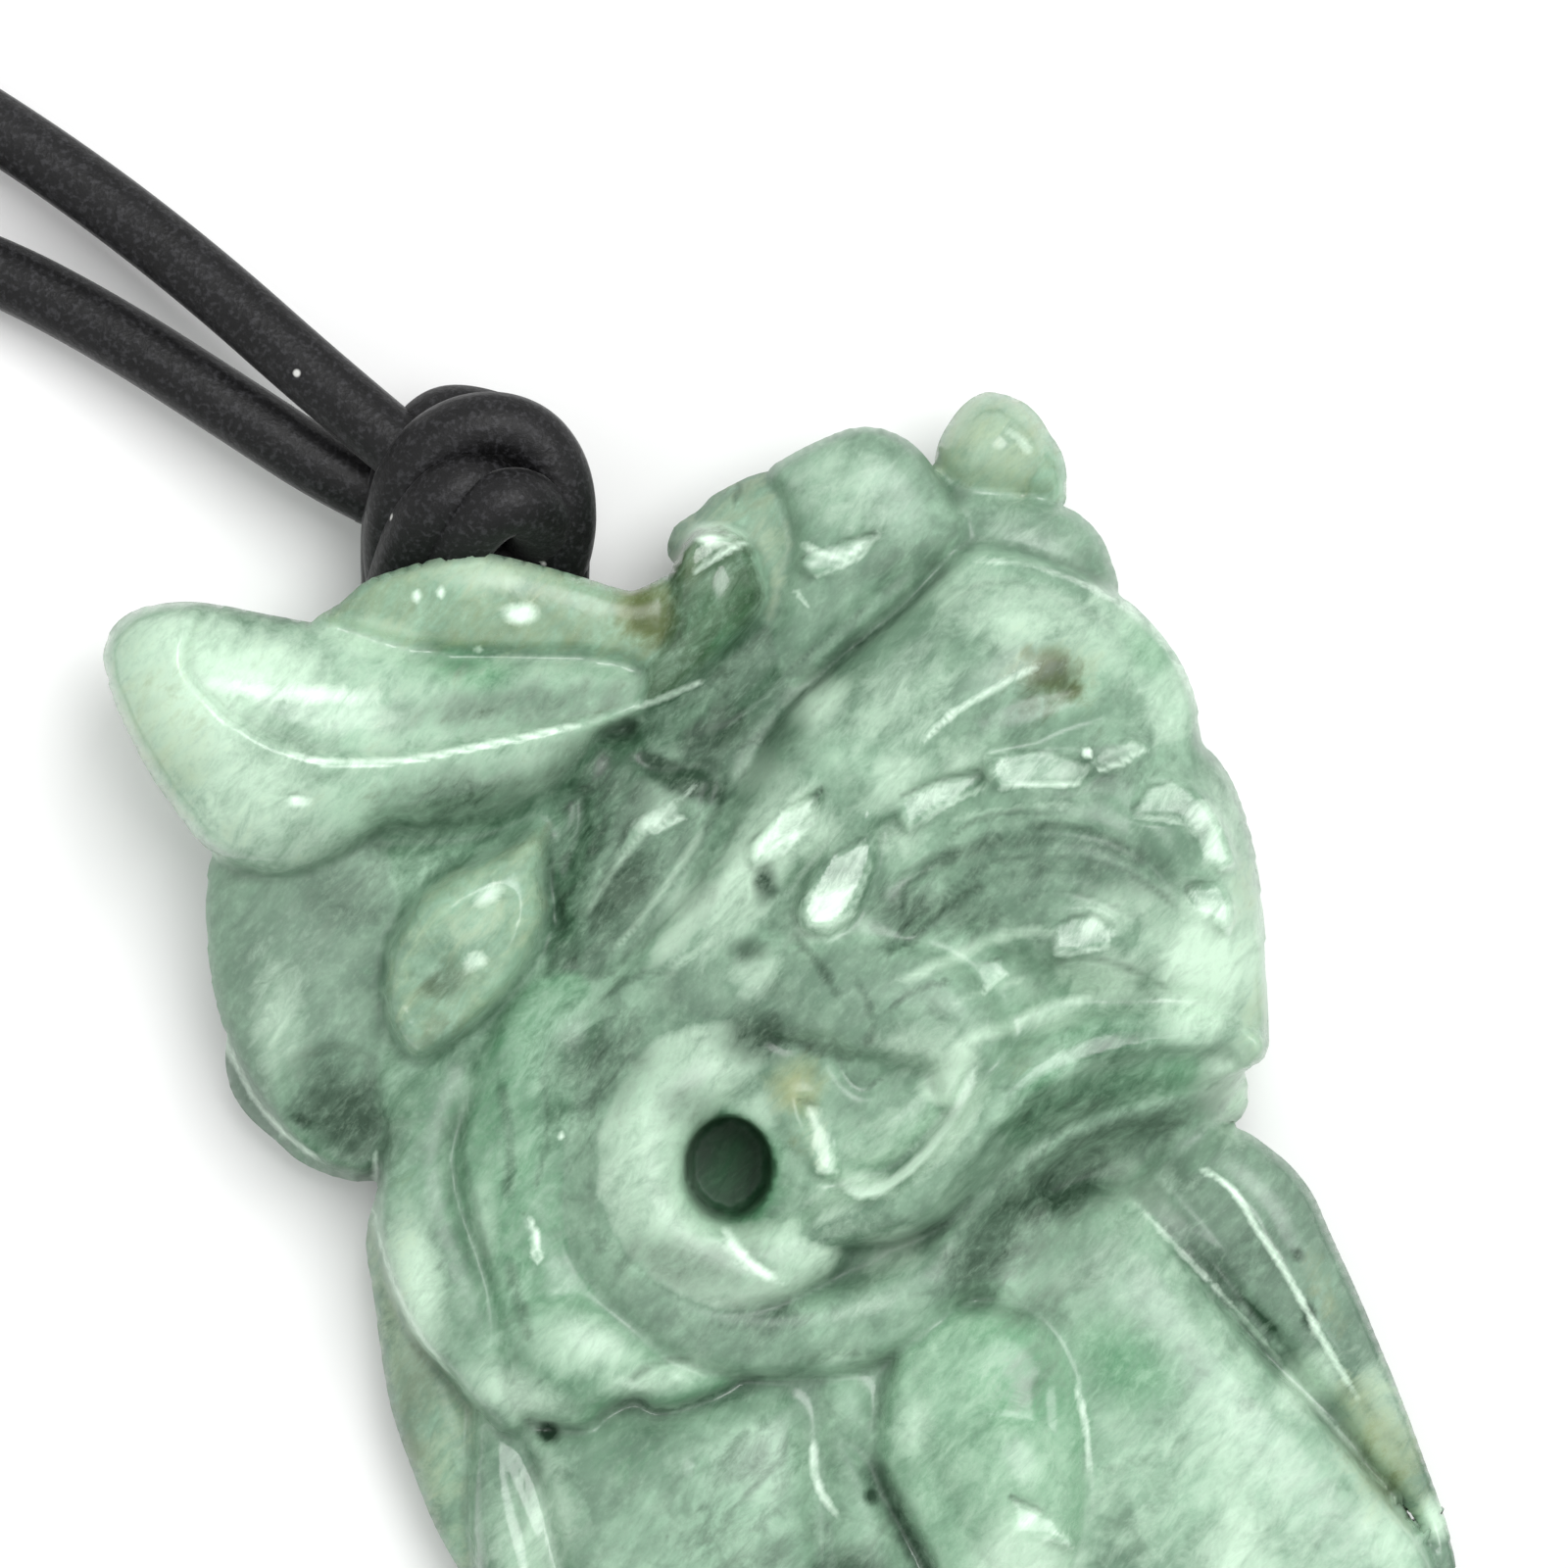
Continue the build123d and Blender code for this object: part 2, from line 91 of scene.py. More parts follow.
# The turns of the knot that show, each one the middle line of the cord
KNOT_TURNS = [
    [(-11.3, 22.4, 3.2), (-11.5, 23.6, 3.9), (-11.4, 25.0, 4.9), (-10.9, 26.3, 5.6), (-9.9, 27.2, 5.9),
     (-8.7, 27.5, 6.0), (-7.6, 27.2, 5.8), (-6.9, 26.4, 5.6), (-6.6, 25.4, 5.3), (-6.6, 24.4, 4.7),
     (-6.9, 23.3, 3.8), (-7.2, 22.4, 3.0)],
    [(-11.5, 22.4, 2.6), (-11.6, 24.0, 3.4), (-11.3, 26.0, 4.2), (-10.6, 27.4, 4.5), (-9.6, 27.8, 4.6),
     (-8.4, 27.4, 4.2)],
    [(-11.5, 22.3, 3.2), (-11.3, 23.2, 4.3), (-10.8, 24.4, 5.6), (-10.0, 25.4, 6.4), (-9.1, 25.8, 6.2),
     (-8.4, 25.6, 5.0), (-8.0, 25.2, 3.8)],
    [(-10.5, 22.2, 3.2), (-10.2, 23.0, 4.3), (-9.7, 23.9, 5.6), (-8.9, 24.9, 6.7), (-7.9, 25.3, 6.8),
     (-7.3, 24.9, 6.0), (-7.2, 24.4, 4.8), (-7.4, 24.0, 3.6)],
    [(-10.2, 23.2, 3.2), (-9.0, 23.6, 3.4), (-7.6, 23.4, 3.2)],
    [(-12.35, 27.65, 4.75), (-11.2, 26.7, 5.0), (-10.28, 25.94, 5.2), (-9.4, 25.2, 4.4)],
    [(-12.3, 25.6, 3.2), (-11.4, 25.2, 3.2), (-10.5, 24.8, 3.2), (-9.2, 24.8, 3.2), (-8.0, 25.0, 3.2)],
]
# How the cord's loop goes down behind the horn and up again
LOOP = [(-11.2, 25.2, 3.7), (-11.2, 21.6, 3.7), (-10.6, 19.8, 3.7), (-9.0, 19.4, 3.7), (-7.4, 19.8, 3.7),
        (-6.8, 21.6, 3.7), (-6.8, 25.2, 3.7)]

# The carving, in millimetres on the layout grid. First comes the body's outline, then the pillows: outline,
# level of the rim, height of the crown, depth under the rim and power of the swell.
BODY = [(-9.3, 2), (-9.2, -2), (-9.1, -6), (-7.9, -10), (-5.4, -14), (-2, -18), (1.8, -22.4), (4.2, -26),
        (5.4, -29.4), (6.0, -30.9), (6.6, -31.0), (8.0, -30.0), (11.4, -26.6), (14.4, -22.6), (16.9, -18.4),
        (18.6, -13.6), (19.3, -9), (19.2, -6.4), (18.4, -4.8), (16.4, -2.2), (14.6, 0.2), (12.6, 2.8),
        (11.6, 4.6), (10, 7), (4, 9), (-4, 9), (-8.6, 7)]
PILLOWS = {
    "body": (BODY, 2.6, 3.6, 2.6, 0.6),
    "web": ([(-14.6, 21.2), (-12.9, 21.2), (-12.3, 20.5), (-9, 20.2), (-5.7, 20.5), (-4.6, 21.8),
             (-3.0, 22.6), (-2.4, 24.4), (-1.2, 25.4), (1.2, 26.2), (4.6, 25.6), (8, 24.6), (9, 22.6),
             (6, 14), (0, 8), (-5, 5), (-9, 5), (-11.6, 6), (-13, 9), (-14.6, 12), (-16, 16)], 2.8, 1.6,
             2.8, 0.6),
    "head": ([(5, 23.6), (8.6, 23), (10, 21.9), (11.2, 20.6), (11.8, 19.2), (12.1, 17.8), (13, 16.2),
              (13.6, 13.4), (13.8, 10.6), (13.2, 8.4), (11.8, 7.4), (8, 6.2), (5, 3.4), (0, 1), (-5, 3),
              (-6.4, 8), (-6.6, 12), (-6.6, 16), (-5, 18.4), (-1, 19.6), (2, 21.6)], 3.4, 4.5, 3.4, 0.4),
    "far_corner": ([(11.4, 8.6), (12.2, 9.2), (13.2, 8.7), (13.45, 7.9), (13.2, 7.2), (12.4, 6.9),
                    (11.5, 7.2)], 3.2, 1.2, 2.6, 1.0),
    "back_leaf": ([(-11.6, 5.6), (-12.2, 4.6), (-12.4, 3.5), (-12.2, 2.2), (-11.9, 0), (-11.6, -1.5),
                   (-11, -3.2), (-10.4, -4.7), (-9.8, -5.8), (-9.2, -6.8), (-8.4, -6), (-8.6, -2),
                   (-9.4, 1), (-10.2, 4.6)], 2.2, 1.5, 2.0, 0.9),
    "outer_strand": ([(-9.1, -1.2), (-9.25, -2.6), (-9.3, -4), (-9.15, -6), (-8.5, -8), (-7.2, -9.8),
                      (-6.0, -9.4), (-6.3, -7), (-7.0, -4.6), (-7.6, -3), (-8, -1.6), (-8.5, -0.8)], 3.4,
                      2.0, 2.6, 0.9),
    "throat": ([(-7.8, -1.4), (-6.4, -1.7), (-4.8, -1.1), (-3.8, -1.4), (-2, -0.8), (-0.4, -0.4),
                (0.7, -0.3), (1.1, -1.6), (1.3, -3.6), (1.5, -6.4), (2.2, -10.6), (2.4, -14), (0.4, -14.4),
                (-2.4, -11.8), (-4.8, -9), (-6.3, -6.4), (-7.0, -4), (-7.5, -2.8)], 4.0, 2.8, 3.4, 0.5),
    "chin_fold": ([(0.6, -0.2), (2.2, 0.1), (2.8, -1.2), (3.0, -2.4), (3.3, -4), (3.6, -6.4), (3.6, -9.4),
                   (2.8, -11.4), (1.8, -9.4), (1.2, -6), (0.9, -3.4), (0.7, -1.8)], 4.6, 2.0, 3.4, 0.6),
    "gum": ([(3.0, 4.0), (5, 6), (7, 8.2), (9.5, 9), (12.4, 8.4), (12.2, 6.6), (10.6, 5.2), (9.6, 3.6),
             (8, 1.6), (5.4, 2.0), (3.6, 2.2)], 4.0, 1.2, 4.0, 0.5),
    "fin": ([(11.0, 6.3), (12, 7.05), (13.2, 6.9), (14, 6.4), (14.7, 5.8), (15.3, 5), (15.7, 4.1),
             (16.2, 3), (16.7, 1.9), (17.2, 0.7), (17.7, -0.5), (18.2, -1.8), (18.6, -2.9), (19, -4),
             (19.3, -5), (19.45, -6.2), (19.0, -7.4), (18.6, -6), (18.4, -4.6), (17, -3), (16, -1.5),
             (15, -0.3), (14, 0.9), (13.2, 1.9), (12.5, 2.8), (11.5, 3.9), (10.7, 5)], 4.3, 1.9, 3.4, 0.6),
    "tooth": ([(9.9, 5.0), (10.6, 4.4), (11, 3.9), (12, 2.6), (13, 1.3), (14, 0.1), (15, -0.9), (16, -2),
               (17, -3.2), (18, -4.4), (18.7, -5.6), (19.0, -8), (18.9, -11), (18.0, -15), (16.2, -19),
               (13.8, -22.8), (10.9, -26.6), (8.0, -29.8), (6.5, -30.8), (6.1, -30.2), (5.6, -27.6),
               (4.6, -24), (3.2, -20.4), (2.4, -16), (2.8, -12), (3.6, -8), (4.6, -4), (5.4, -0.6),
               (5.9, 1.8), (6.4, 3.4), (7.2, 4.4), (8.5, 5.2)], 3.6, 3.5, 3.3, 0.3),
    "beard": ([(3, 0), (3.3, 0.8), (4.1, 1.4), (5, 1.75), (6, 1.85), (6.8, 1.65), (7.5, 1.2), (8, 0.5),
               (8.3, -0.3), (8.5, -1.3), (8.7, -2.9), (8.8, -3.7), (8.6, -5), (8.0, -6.6), (7.0, -8.8),
               (6.0, -10.8), (5.3, -12.2), (4.9, -11), (4.6, -8.6), (4.4, -7), (4.1, -5.8), (3.7, -5),
               (3.1, -4.1), (2.7, -3.2), (2.6, -2.2), (2.7, -1)], 5.4, 2.6, 4.0, 0.4),
    "bulb_rim": ([(-16.2, 10), (-16.5, 9.3), (-16.5, 8.6), (-16.3, 7.9), (-15.8, 7.2), (-15, 6.5),
                  (-14.3, 5.9), (-13.2, 5.45), (-12.2, 5.35), (-11.2, 5.6), (-11.2, 8), (-15, 10)], 1.9,
                  1.5, 1.6, 0.9),
    "bulb": ([(-16.4, 15.8), (-16.85, 14.9), (-17, 14), (-17, 12.6), (-16.8, 11), (-16.4, 9.6),
              (-15.8, 8.3), (-15.2, 7.4), (-14.6, 6.7), (-13.9, 6.1), (-13.2, 5.7), (-12.2, 5.6),
              (-11.6, 6.6), (-11.2, 8.4), (-10.6, 11), (-10.2, 14), (-10.6, 16.4), (-13, 17)], 3.6, 3.0,
              2.8, 0.6),
    "mane_outer": ([(-10.6, 8.9), (-11.2, 8), (-11.6, 7.2), (-11.9, 6), (-12, 5), (-12, 4), (-11.8, 3),
                    (-11.2, 1.4), (-10.6, 0.5), (-9.9, -0.2), (-9.1, -1.2), (-8.2, -1.9), (-7.6, -1.6),
                    (-7.9, 0.4), (-8.4, 2.2), (-8.9, 3.4), (-9.3, 4.5), (-9.5, 5.4), (-9.6, 6.4),
                    (-9.3, 7.6), (-8.8, 9.2), (-9.6, 9.8)], 4.3, 2.3, 3.4, 0.45),
    "mane_inner": ([(-7.0, 11.4), (-8.2, 10.4), (-8.9, 9), (-9.4, 7.4), (-9.7, 6.2), (-9.6, 5.2),
                    (-9.4, 4.4), (-8.9, 3), (-8.5, 1.4), (-8.4, 0), (-8.1, -1.1), (-7, -1.6), (-5.8, -1.7),
                    (-5.3, -1.3), (-4.5, -0.9), (-3.8, -1.2), (-2.8, -1.0), (-1.4, -0.4), (-2, 0.1),
                    (-3.7, 0.8), (-5.2, 2), (-6.2, 3.4), (-6.4, 4.6), (-6.3, 6.2), (-5.9, 7.5), (-5.4, 8.6),
                    (-4.8, 10), (-5.4, 11.2)], 4.6, 2.8, 3.6, 0.35),
    "nape": ([(-6.4, 18), (-4, 18.4), (-1.6, 17.2), (-2, 15.4), (-3, 13.6), (-4.6, 11.4), (-6.4, 10),
              (-7.4, 10.6), (-7.2, 12.4), (-6.8, 14), (-6.6, 16)], 4.9, 1.9, 4.2, 0.45),
    "behind_ear": ([(-13.4, 15.6), (-11.8, 16.6), (-9.2, 17.0), (-6.6, 18.0), (-5.4, 17.4), (-5.6, 14.6),
                    (-6.0, 12.2), (-6.6, 10.2), (-8.2, 8.2), (-9.8, 7.2), (-11.4, 6.8), (-12.2, 8.0),
                    (-12.2, 10.4), (-12.6, 13)], 4.6, 1.7, 3.4, 0.35),
    "behind_curl": ([(-4.4, 19.6), (-3.2, 20.8), (-2.0, 22.2), (-0.6, 22.4), (0.4, 20.4), (0.0, 18.8),
                     (-1.2, 17.6), (-2.8, 17.2), (-4.4, 18.2)], 4.8, 1.8, 3.0, 0.35),
    "horn_leaf": ([(-13.9, 21.6), (-13, 22.3), (-12.3, 22.9), (-11.5, 23.2), (-10.5, 23.5), (-9.6, 23.65),
                   (-8.7, 23.7), (-7, 23.3), (-5.8, 22.95), (-5.0, 22.7), (-4.4, 22.65), (-3.4, 23.1),
                   (-2.8, 22.8), (-2.6, 21.4), (-3.4, 20.2), (-6, 19.8), (-10, 20), (-13, 20.6)], 5.6, 1.7,
                   1.6, 0.35),
    "curl_rim": ([(-3.5, 23.6), (-3.4, 24.4), (-3.0, 24.75), (-2.6, 25.0), (-2.3, 25.35), (-1.6, 25.75),
                  (-0.9, 26.05), (-0.3, 26.0), (0.4, 25), (0.6, 23), (0.4, 20.8), (-0.6, 20.4),
                  (-1.6, 21.4), (-2.6, 23)], 4.2, 2.4, 2.6, 0.6),
    "ridge": ([(4.4, 25.9), (5.2, 26.0), (6, 25.6), (7, 25.3), (8.0, 25.1), (8.6, 24.75), (9.1, 24.2),
               (9.4, 23.5), (9.6, 22.7), (9.2, 22.0), (7, 22.0), (5.0, 22.4), (4.4, 23.6)], 4.3, 2.3, 2.6,
               0.6),
    "small_ball": ([(6.9, 27.2), (7.5, 27.25), (7.95, 26.7), (8.1, 26), (8.05, 25.2), (7.5, 24.9),
                    (6.8, 25.2), (6.4, 26.2)], 4.2, 1.6, 1.4, 1.0),
    "ball": ([(4.3, 26.1), (4.35, 26.9), (4.75, 27.65), (5.2, 28.15), (5.7, 28.42), (6.3, 28.35),
              (6.95, 28.05), (7.5, 27.4), (7.75, 26.6), (7.4, 25.8), (6.6, 25.3), (5.6, 25.3), (4.8, 25.5)],
              4.3, 2.5, 1.7, 1.0),
    "crest": ([(-0.6, 26.05), (0, 26.55), (1, 27.05), (1.8, 27.35), (2.5, 27.38), (3.2, 27.15), (3.7, 26.8),
               (4.1, 26.35), (4.6, 25.6), (5.0, 24.8), (5.2, 24), (4.8, 23.2), (3.8, 22.0), (2.4, 20.8),
               (1.4, 19.9), (0.2, 19.3), (-0.5, 20.0), (-0.5, 21.5), (-0.2, 23), (0.15, 23.9), (-0.1, 25)],
               4.6, 2.9, 2.8, 0.35),
    "curl": ([(-3.2, 23.8), (-2.9, 24.25), (-2.5, 24.5), (-1.9, 24.5), (-1.3, 24.2), (-0.9, 23.5),
              (-0.7, 22.7), (-0.8, 22.0), (-1.4, 21.3), (-2.2, 20.5), (-3.1, 19.7), (-4.0, 19.2),
              (-5.0, 18.7), (-5.6, 18.7), (-5.4, 19.3), (-4.6, 19.9), (-3.9, 20.8), (-3.5, 21.8),
              (-3.5, 22.8)], 5.8, 2.5, 3.0, 0.6),
    "horn": ([(-19.9, 20.5), (-19.85, 21.1), (-19.6, 21.6), (-19.1, 22), (-18.5, 22.2), (-17.5, 22.3),
              (-16.5, 22.2), (-15.5, 22), (-14.7, 21.85), (-13.9, 21.7), (-12.9, 21.5), (-11.9, 21.2),
              (-11, 21), (-9, 20.8), (-7, 20.8), (-5, 20.7), (-3.9, 20.2), (-3.9, 19.5), (-4.6, 18.9),
              (-5.4, 18.5), (-6.0, 17.8), (-6.5, 17.1), (-7.1, 16.8), (-7.8, 16.5), (-8.6, 16.2),
              (-9.6, 15.95), (-10.6, 15.85), (-11.7, 15.85), (-12.3, 15.5), (-13.2, 14.9), (-14.1, 14.5),
              (-15, 14.4), (-15.8, 14.55), (-16.5, 14.8), (-17.1, 15.3), (-17.8, 16.2), (-18.5, 17.2),
              (-19.1, 18.3), (-19.6, 19.4)], 5.4, 3.9, 3.0, 0.5),
    "face": ([(5.2, 23.85), (6.6, 23.75), (8.4, 23.1), (9.7, 22.4), (10.3, 21.9), (11, 21.1), (11.5, 20.3),
              (11.85, 19.3), (12.0, 18.2), (12.3, 17.9), (12.75, 17.3), (13.15, 16.4), (13.5, 15.2),
              (13.7, 14), (13.85, 12.5), (13.9, 11), (13.95, 9.8), (13.9, 9.25), (13.6, 8.9), (13.0, 8.6),
              (12, 8.1), (10.8, 7.9), (9.4, 7.6), (8, 7.1), (7, 6.6), (6.2, 6.0), (5.6, 5.5), (4.8, 4.9),
              (4, 4.4), (3, 4), (2, 3.6), (0.6, 3.2), (-0.6, 3.4), (-1.6, 5), (-2.6, 7.6), (-4, 9.2),
              (-5.8, 9.6), (-6.2, 10.4), (-5.2, 11.4), (-4.2, 12.6), (-3.2, 14.2), (-2.2, 16.0),
              (-1.3, 17.3), (-0.3, 18.8), (0.6, 19.7), (1.5, 20.5), (2.3, 21.2), (3.5, 22.2), (4.4, 23.2)],
              5.2, 4.0, 4.8, 0.35),
    "ear": ([(-7.1, 16.0), (-6.8, 15.6), (-6.95, 14.9), (-7.05, 14.2), (-7, 13.5), (-7.2, 12.6),
             (-7.6, 11.8), (-8.2, 11), (-8.9, 10.2), (-9.6, 9.6), (-10.3, 9.15), (-10.8, 9.05),
             (-11.2, 9.35), (-11.6, 10), (-11.8, 10.9), (-11.7, 12), (-11.4, 12.8), (-10.9, 13.6),
             (-10.2, 14.2), (-9.3, 14.7), (-8.3, 15.1), (-7.6, 15.6)], 5.8, 2.3, 3.2, 0.5),
}
# How much a pillow's top rises to the right and up the stone, for each millimetre
LEANS = {
    "horn_leaf": (0.05, 0.14), "mane_outer": (0.1, 0.02),
    "tooth": (0.10, 0.10), "throat": (0.08, 0.10), "beard": (0.10, 0.06), "crest": (0.06, 0.08),
    "mane_inner": (0.08, 0.04), "face": (0.03, 0.06), "horn": (0.02, 0.06),
}
# A band: sections (x, y, level, half width, height) along a spine
BANDS = {
    "fin_root": [(10.6, 4.9, 4.6, 0.6, 1.5), (12.2, 3.3, 4.6, 0.75, 1.5), (14, 1.4, 4.4, 0.75, 1.4),
                 (16, -0.8, 4.2, 0.75, 1.2), (18, -3.4, 4.0, 0.6, 1.0)],
    "hinge": [(0.4, 3.6, 5.2, 1.3, 3.2), (-1.4, 2.9, 5.2, 1.5, 3.3), (-3.2, 3.6, 5.2, 1.6, 3.4),
              (-4.2, 5.2, 5.2, 1.7, 3.5), (-4.1, 7.0, 5.2, 1.7, 3.5), (-3.0, 8.5, 5.2, 1.7, 3.5),
              (-1.4, 9.4, 5.2, 1.5, 3.5)],
    "jaw": [(-4.6, 9.9, 4.9, 0.9, 3.0), (-5.3, 7.6, 4.9, 1.0, 3.0), (-5.4, 4.8, 4.9, 1.2, 3.0),
            (-4.3, 2.5, 4.9, 1.35, 3.0), (-2.2, 1.3, 4.9, 1.4, 3.0), (0.3, 1.1, 4.9, 1.4, 3.0),
            (2.7, 1.7, 4.9, 1.4, 3.0), (4.6, 3.0, 4.8, 1.2, 2.8), (6.4, 4.8, 4.4, 0.8, 2.2)],
    "lip": [(13.3, 9.4, 6.6, 0.6, 2.0), (12.2, 9.4, 6.8, 1.1, 2.6), (10.6, 9.3, 6.9, 1.45, 3.0),
            (9.0, 9.0, 7.0, 1.6, 3.3), (7.6, 8.4, 7.0, 1.6, 3.4), (6.4, 7.5, 7.0, 1.5, 3.4),
            (5.4, 6.5, 6.9, 1.25, 3.3), (4.4, 5.6, 6.8, 1.1, 3.2), (3.2, 4.8, 6.6, 1.0, 3.0),
            (1.8, 4.5, 6.4, 0.9, 2.7), (0.6, 4.0, 6.2, 0.7, 2.2)],
    "cheek": [(-2.8, 11.2, 5.6, 1.0, 3.4), (-0.6, 11.0, 5.8, 1.4, 3.8), (1.6, 10.8, 6.0, 1.9, 4.0),
              (3.8, 10.6, 6.1, 2.0, 4.2), (5.2, 9.6, 6.1, 1.5, 3.9), (5.0, 8.2, 6.0, 1.0, 3.4)],
    "gum_line": [(1.4, 6.6, 5.6, 0.9, 2.6), (2.8, 6.9, 5.8, 1.3, 2.8), (4.0, 7.8, 5.8, 1.1, 2.8)],
    "fang": [(0.1, 8.9, 6.3, 1.15, 2.0), (0.2, 8.0, 6.4, 1.2, 2.1), (0.6, 6.9, 6.4, 0.95, 2.1),
             (1.1, 5.7, 6.3, 0.5, 1.7)],
    "eye": [(2.3, 15.9, 8.2, 0.4, 1.2), (1.75, 14.8, 8.3, 0.75, 1.5), (1.2, 13.8, 8.3, 0.9, 1.6),
            (0.9, 13.2, 8.2, 0.7, 1.4)],
    "eye_corner": [(-0.6, 12.1, 7.8, 0.4, 1.6), (-0.3, 11.5, 7.8, 0.45, 1.6)],
}
# A swell adds to what is there: outline, height, power
SWELLS = [
    ([(6.0, 19.0), (9, 19.6), (11.4, 18.6), (13, 16), (13.6, 13), (13.6, 10.4), (11.6, 10.2), (9.4, 10.8),
      (7, 11.4), (5, 13), (4.4, 15.6), (4.8, 17.8)], 1.5, 1.9),
    ([(-0.2, 18.4), (2, 20.3), (4, 21.9), (5.4, 22.8), (8, 22.4), (9.6, 21.2), (9.6, 19.4), (7.6, 18.6),
      (5.6, 17.6), (3.4, 16.2), (1.6, 15.4), (-0.2, 14), (-2, 12.6), (-4, 11.2), (-5.4, 10.6), (-4.4, 12),
      (-2.8, 14), (-1.4, 16.2)], 1.2, 1.3),
    ([(6.4, 13.0), (7.4, 13.6), (8.6, 13.6), (9.8, 12.9), (10.4, 11.9), (9.6, 11.5), (8, 11.5), (6.8, 12)],
      0.45, 1.6),
    ([(9.8, 16.2), (10.6, 17.3), (11.6, 17.4), (12.6, 16.4), (13.1, 14.6), (13.2, 13), (12.2, 12.8),
      (11.4, 13.6), (10.6, 14.8)], 0.5, 1.4),
    ([(-7.9, 1.7), (-6, 2.0), (-4.2, 0.8), (-3.6, -0.4), (-5, -0.9), (-7, -1.2), (-8, -0.2)], 0.5, 1.4),
    ([(4.4, -2), (6.4, -1.4), (8, -2.2), (8.4, -4.2), (7.4, -6), (5.6, -5.4)], 0.6, 1.6),
]
# A scoop takes away: outline, depth, power, the form that it takes from
SCOOPS = [
    ([(-17.4, 20.3), (-17.2, 21.6), (-16.2, 23.0), (-13.4, 24.2), (-9, 24.6), (-4.6, 23.4), (-3.0, 20.9),
      (-4.2, 19.5), (-5.5, 18.95), (-7.2, 18.6), (-9.2, 18.2), (-11.4, 17.8), (-13.4, 17.8), (-15, 18.3),
      (-16.4, 19.15)], 1.5, 0.6, "horn"),
    ([(-11.1, 10.1), (-10.3, 9.9), (-9.4, 10.7), (-8.4, 12), (-7.9, 13.6), (-8.6, 13.9), (-9.8, 13.2),
      (-10.8, 12.2), (-11.2, 11.1)], 0.45, 0.8, "ear"),
    ([(-14.5, 9), (-12.3, 9.2), (-11.6, 7.4), (-12.4, 6.0), (-13.6, 6.2), (-14.6, 7.2)], 0.8, 0.8, "bulb"),
    ([(4.4, 5.0), (5.6, 6.5), (7.0, 7.8), (8.6, 8.8), (10.6, 9.3), (12.8, 9.3), (12.8, 8.2), (10.6, 7.6),
      (9, 7.2), (7.6, 6.6), (6.2, 5.6), (5, 4.6)], 1.1, 0.8, "lip"),
    ([(4.7, 2.9), (6.2, 4.6), (7.6, 6.6), (9.4, 7.6), (11.4, 7.4), (10.8, 6), (9.6, 4.6), (8, 2.8),
      (6, 2.4)], 0.7, 0.7, "gum"),
]
# Over how many millimetres a softening fades in at its edge
MELT_EDGE = 0.9
# Where forms run into each other: outline, how many times the heights are softened
MELTS = [
    ([(4.6, 4.0), (5.8, 5.7), (7.2, 7.2), (8.8, 7.9), (10.8, 8.1), (12.2, 8.2), (12.4, 7.0), (11.0, 5.6),
      (10.4, 4.0), (9.0, 2.4), (7.4, 2.2), (5.6, 2.2)], 60),
    ([(-9.2, 9.0), (-8.4, 9.6), (-7.2, 11.8), (-6.0, 12.8), (-4.6, 11.2), (-4.8, 8.2), (-5.4, 5.4),
      (-4.6, 3.2), (-2.4, 1.6), (0.6, 1.4), (3.2, 2.4), (4.0, 1.6), (0.4, 0.2), (-2.6, 0.4), (-4.6, 0.4),
      (-6.6, -0.6), (-7.8, 0.2), (-8.4, 2.8), (-9.2, 5.6)], 24),
    ([(-10.4, 16.2), (-7.2, 17.2), (-5.0, 18.4), (-2.4, 18.6), (-1.4, 17.0), (-3.4, 13.6), (-5.8, 11.8),
      (-6.4, 13.4), (-6.8, 15.4), (-8.2, 15.8)], 12),
    ([(-2.2, 11.8), (-0.6, 13.6), (1.4, 13.2), (3.2, 12.0), (4.6, 10.2), (3.8, 9.2), (2.0, 9.8),
      (0.2, 10.2), (-1.4, 10.4)], 30),
    ([(-5.4, 10.0), (-4.6, 12.4), (-2.4, 13.8), (-0.6, 12.8), (-0.2, 11.2), (0.6, 10.0), (0.0, 8.6),
      (-1.4, 8.4), (-3.4, 8.8), (-4.8, 9.2)], 50),
    ([(5.6, 6.4), (6.8, 8.2), (8.2, 9.4), (9.8, 10.1), (11.6, 10.2), (12.9, 9.8), (12.9, 8.9), (10.8, 8.3),
      (8.8, 7.6), (7.0, 6.6)], 40),
]
